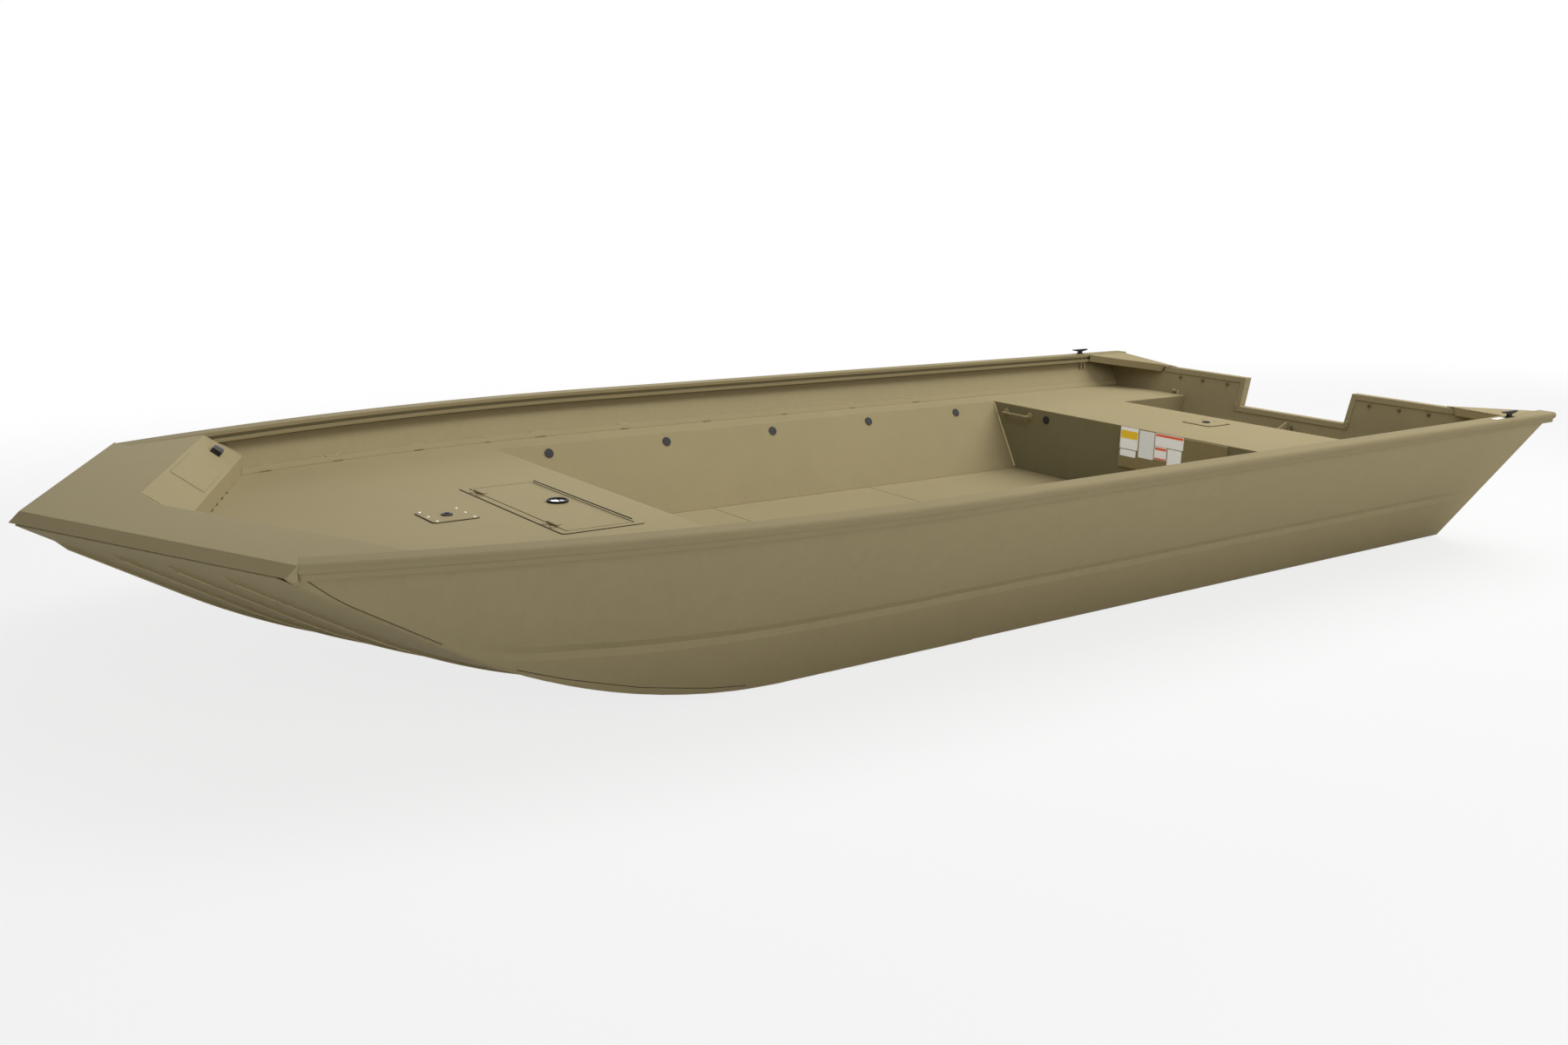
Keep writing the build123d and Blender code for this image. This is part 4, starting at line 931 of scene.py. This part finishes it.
# Each a radius, a length and a number of sides
CLEAT_BOLT = (0.004, 0.072, 12)
CLEAT_NUT = (0.007, 0.006, 6)
CLEAT_NUT_DROP = 0.026


def handle_grip():
    """The grip of the handle and its two dished feet."""
    low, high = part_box("grab_handle")
    out = high.x - GRIP_BACK
    level = (low.z + high.z) / 2
    run = [Vector((out, y, level)) for y in steps(low.y + GRIP_INSET, high.y - GRIP_INSET, 24)]
    bead("handle_grip", [run], GRIP_THICKNESS, PAINTED_SHADE_RAIL)
    shape = bmesh.new()
    for y in (low.y + FOOT_INSET, high.y - FOOT_INSET):
        stand = facing((low.x + FOOT_PROUD, y, level), (1, 0, 0))
        add_ball(shape, stand, FOOT_HALF, 28, 14)
    fit("handle_feet", shape, PAINTED_SHADE_RAIL)


def cleat_bolts(side, across):
    """Bolts that come down through the rail under each cleat, with their nuts."""
    shape = bmesh.new()
    middle = top_of(f"cleat_{side}").x
    for shift in (-CLEAT_BOLT_SHIFT, CLEAT_BOLT_SHIFT):
        inside = (middle + shift, 0, RAIL_LEVEL)
        place, normal = meet(f"gunwale_{side}", inside, (0, across, 0))
        drop = Vector((0, 0, -CLEAT_BOLT_DROP))
        stand = Matrix.Translation(place + normal * CLEAT_BOLT_PROUD + drop)
        add_rod(shape, stand, *CLEAT_BOLT)
        add_rod(shape, stand @ Matrix.Translation((0, 0, -CLEAT_NUT_DROP)), *CLEAT_NUT)
    # The cleat bolts take the lighter khaki as a painted highlight
    fit(f"cleat_bolts_{side}", shape, SEALANT_AND_HIGHLIGHT, smooth=False)


handle_grip()
for side, across in SIDES:
    cleat_bolts(side, across)


# Blank plates: the tag by the port cleat, and the stickers on the rear panel

FILM_THICKNESS = 0.0004
TAG_SIZE = (0.075, 0.026)
TAG_CORNER = 0.002
TAG_TURN = 0.02
TAG_AHEAD = 0.030
TAG_INBOARD = 0.004
TAG_LIFT = 0.0004
# Each how far it stands off the panel, and the radius of its corners
SHEET = (0.0003, 0.004)
BAND = (0.0008, 0.001)
# Each its port and starboard edge, its top and its foot
STICKERS = (
    ("sticker_one", STICKER_WHITE, SHEET, -0.037, -0.145, 0.447, 0.342),
    ("sticker_one_band", STICKER_YELLOW, BAND, -0.040, -0.142, 0.430, 0.392),
    ("sticker_one_tab", STICKER_WHITE, SHEET, -0.046, -0.141, 0.338, 0.306),
    ("sticker_two", STICKER_GREY, SHEET, 0.060, -0.030, 0.443, 0.313),
    ("sticker_three", STICKER_WHITE, SHEET, 0.229, 0.065, 0.446, 0.384),
    ("sticker_three_band", STICKER_ORANGE, BAND, 0.226, 0.068, 0.443, 0.431),
    ("sticker_four", STICKER_WHITE, SHEET, 0.136, 0.065, 0.382, 0.321),
    ("sticker_four_band", STICKER_ORANGE, BAND, 0.133, 0.068, 0.378, 0.366),
    ("sticker_four_foot_band", STICKER_ORANGE, BAND, 0.133, 0.068, 0.329, 0.322),
    ("sticker_five", STICKER_WHITE, SHEET, 0.222, 0.142, 0.380, 0.300),
)


def blank_plate(name, finish, stand, size, corner, facets):
    """A thin flat plate with rounded corners and nothing on it, level on the stand."""
    shape = bmesh.new()
    bmesh.ops.create_grid(
        shape, x_segments=1, y_segments=1, size=0.5,
        matrix=stand @ Matrix.Diagonal((*size, 1, 1)),
    )
    bmesh.ops.bevel(
        shape, geom=shape.verts[:], offset=corner, segments=facets, profile=0.5,
        affect="VERTICES", material=-1,
    )
    bmesh.ops.solidify(shape, geom=shape.faces[:], thickness=FILM_THICKNESS)
    bmesh.ops.recalc_face_normals(shape, faces=shape.faces)
    fit(name, shape, finish, smooth=False)


def cleat_tag():
    """A small blank white tag beside the port cleat."""
    low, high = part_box("cleat_port")
    x, y = high.x + TAG_AHEAD, (low.y + high.y) / 2 - TAG_INBOARD
    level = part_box("gunwale_port")[1].z + TAG_LIFT
    stand = Matrix.Translation((x, y, level)) @ Matrix.Rotation(TAG_TURN, 4, "Z")
    blank_plate("cleat_tag", STICKER_WHITE, stand, TAG_SIZE, TAG_CORNER, 3)


def sticker(name, finish, kind, port, starboard, top, foot):
    """One flat rounded plate on the panel, between two offsets and two heights."""
    lift, corner = kind
    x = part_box("rear_access_panel")[1].x + lift
    centre = (x, (port + starboard) / 2, (top + foot) / 2 + FLOOR_GAP)
    stand = Matrix.Translation(centre) @ Matrix.Rotation(math.pi / 2, 4, "Y")
    blank_plate(name, finish, stand, (top - foot, port - starboard), corner, 4)


cleat_tag()
for row in STICKERS:
    sticker(*row)


# Floor, light and camera

FLOOR_HALF = 60
FLOOR_OVAL = (0.5, 1.0, 1.0)
FLOOR_CLEAR = 2.6
FLOOR_FADE = 3.4
FLOOR_WHITE = 0.80
FLOOR_SHARE = 0.80
FLOOR_ROUGHNESS = 0.9
FLOOR_GLOSS = 0.1
# Each its place, its aim, its size and its watts
LAMPS = (
    ("overhead_aft", (-4.5, 0.5, 5.5), (0.0, 0.0, 0.0), (5.0, 6.0), 330),
    ("overhead_mid", (0.0, 0.0, 6.0), (0.0, 0.0, 0.0), (6.0, 6.0), 75),
    ("over_front_deck", (1.0, -0.2, 3.2), (1.0, -0.2, 0.45), (1.6, 1.2), 18),
    ("port_side", (-1.5, 7.5, 3.0), (0.0, 0.0, 0.4), (7.0, 3.0), 166),
    ("starboard_side", (-1.0, -7.5, 3.0), (0.0, 0.0, 0.4), (7.0, 3.0), 120),
    ("low_ahead", (6.5, 3.5, 0.45), (1.5, 0.0, 0.45), (5.0, 0.8), 70),
)
AMBIENT = 0.08
CAMERA_PLACE = (3.66558, 4.45826, 1.58831)
CAMERA_TURN = (76.6162, -1.4314, 143.5996)
CAMERA_LENS = 33.46
CAMERA_SENSOR = 36.0


def background_rays(tree):
    """One where a ray comes from the camera or a reflection, and so sees the background."""
    rays = tree.nodes.new("ShaderNodeLightPath")
    seen = maths(tree, "MAXIMUM", rays.outputs["Is Camera Ray"], rays.outputs["Is Glossy Ray"])
    return maths(tree, "MAXIMUM", seen, rays.outputs["Is Transmission Ray"])


def plain_floor():
    """A pale floor that keeps the boat's shadow and goes over into a white background."""
    mesh = bpy.data.meshes.new("studio_floor")
    shape = bmesh.new()
    bmesh.ops.create_grid(shape, x_segments=1, y_segments=1, size=FLOOR_HALF)
    shape.to_mesh(mesh)
    shape.free()
    floor = bpy.data.objects.new("studio_floor", mesh)
    bpy.context.scene.collection.objects.link(floor)
    material, tree, shader = new_material("white_studio_floor")
    link(tree, (FLOOR_WHITE,) * 3, shader.inputs["Base Color"])
    shader.inputs["Roughness"].default_value = FLOOR_ROUGHNESS
    shader.inputs["Specular IOR Level"].default_value = FLOOR_GLOSS
    white = tree.nodes.new("ShaderNodeEmission")
    # how far a place lies from the middle, in an oval that is as slim as the boat
    length = tree.nodes.new("ShaderNodeVectorMath")
    length.operation = "LENGTH"
    link(tree, stretch(tree, object_place(tree), FLOOR_OVAL), length.inputs[0])
    far = tree.nodes.new("ShaderNodeMapRange")
    far.interpolation_type = "SMOOTHSTEP"
    far.inputs["From Min"].default_value = FLOOR_CLEAR
    far.inputs["From Max"].default_value = FLOOR_CLEAR + FLOOR_FADE
    far.inputs["To Min"].default_value = FLOOR_SHARE
    link(tree, length.outputs["Value"], far.inputs["Value"])
    blend = tree.nodes.new("ShaderNodeMixShader")
    share = maths(tree, "MULTIPLY", far.outputs["Result"], background_rays(tree))
    link(tree, share, blend.inputs[0])
    link(tree, shader.outputs["BSDF"], blend.inputs[1])
    link(tree, white.outputs["Emission"], blend.inputs[2])
    link(tree, blend.outputs["Shader"], tree.nodes["Material Output"].inputs["Surface"])
    mesh.materials.append(material)


def area_light(name, place, aim, size, power):
    """A rectangular lamp at a place, turned to its aim."""
    lamp = bpy.data.lights.new(name, "AREA")
    lamp.shape = "RECTANGLE"
    lamp.size, lamp.size_y = size
    lamp.energy = power
    body = bpy.data.objects.new(name, lamp)
    body.location = place
    body.rotation_euler = (Vector(aim) - Vector(place)).to_track_quat("-Z", "Y").to_euler()
    bpy.context.scene.collection.objects.link(body)


def white_world():
    """A world that the camera sees as white and that lights the boat a little."""
    world = bpy.data.worlds.new("studio_world")
    bpy.context.scene.world = world
    world.use_nodes = True
    tree = world.node_tree
    backdrop = tree.nodes["Background"]
    backdrop.inputs["Color"].default_value = (1, 1, 1, 1)
    strength = spread(tree, background_rays(tree), AMBIENT, 1.0)
    link(tree, strength, backdrop.inputs["Strength"])


def photo_camera():
    """The camera at the photograph's place and angle."""
    lens = bpy.data.cameras.new("photo_camera")
    lens.lens = CAMERA_LENS
    lens.sensor_width = CAMERA_SENSOR
    camera = bpy.data.objects.new("photo_camera", lens)
    camera.location = CAMERA_PLACE
    camera.rotation_euler = Euler([math.radians(angle) for angle in CAMERA_TURN], "XYZ")
    bpy.context.scene.collection.objects.link(camera)
    bpy.context.scene.camera = camera


plain_floor()
for lamp in LAMPS:
    area_light(*lamp)
white_world()
photo_camera()
bpy.context.scene.view_settings.view_transform = "Standard"
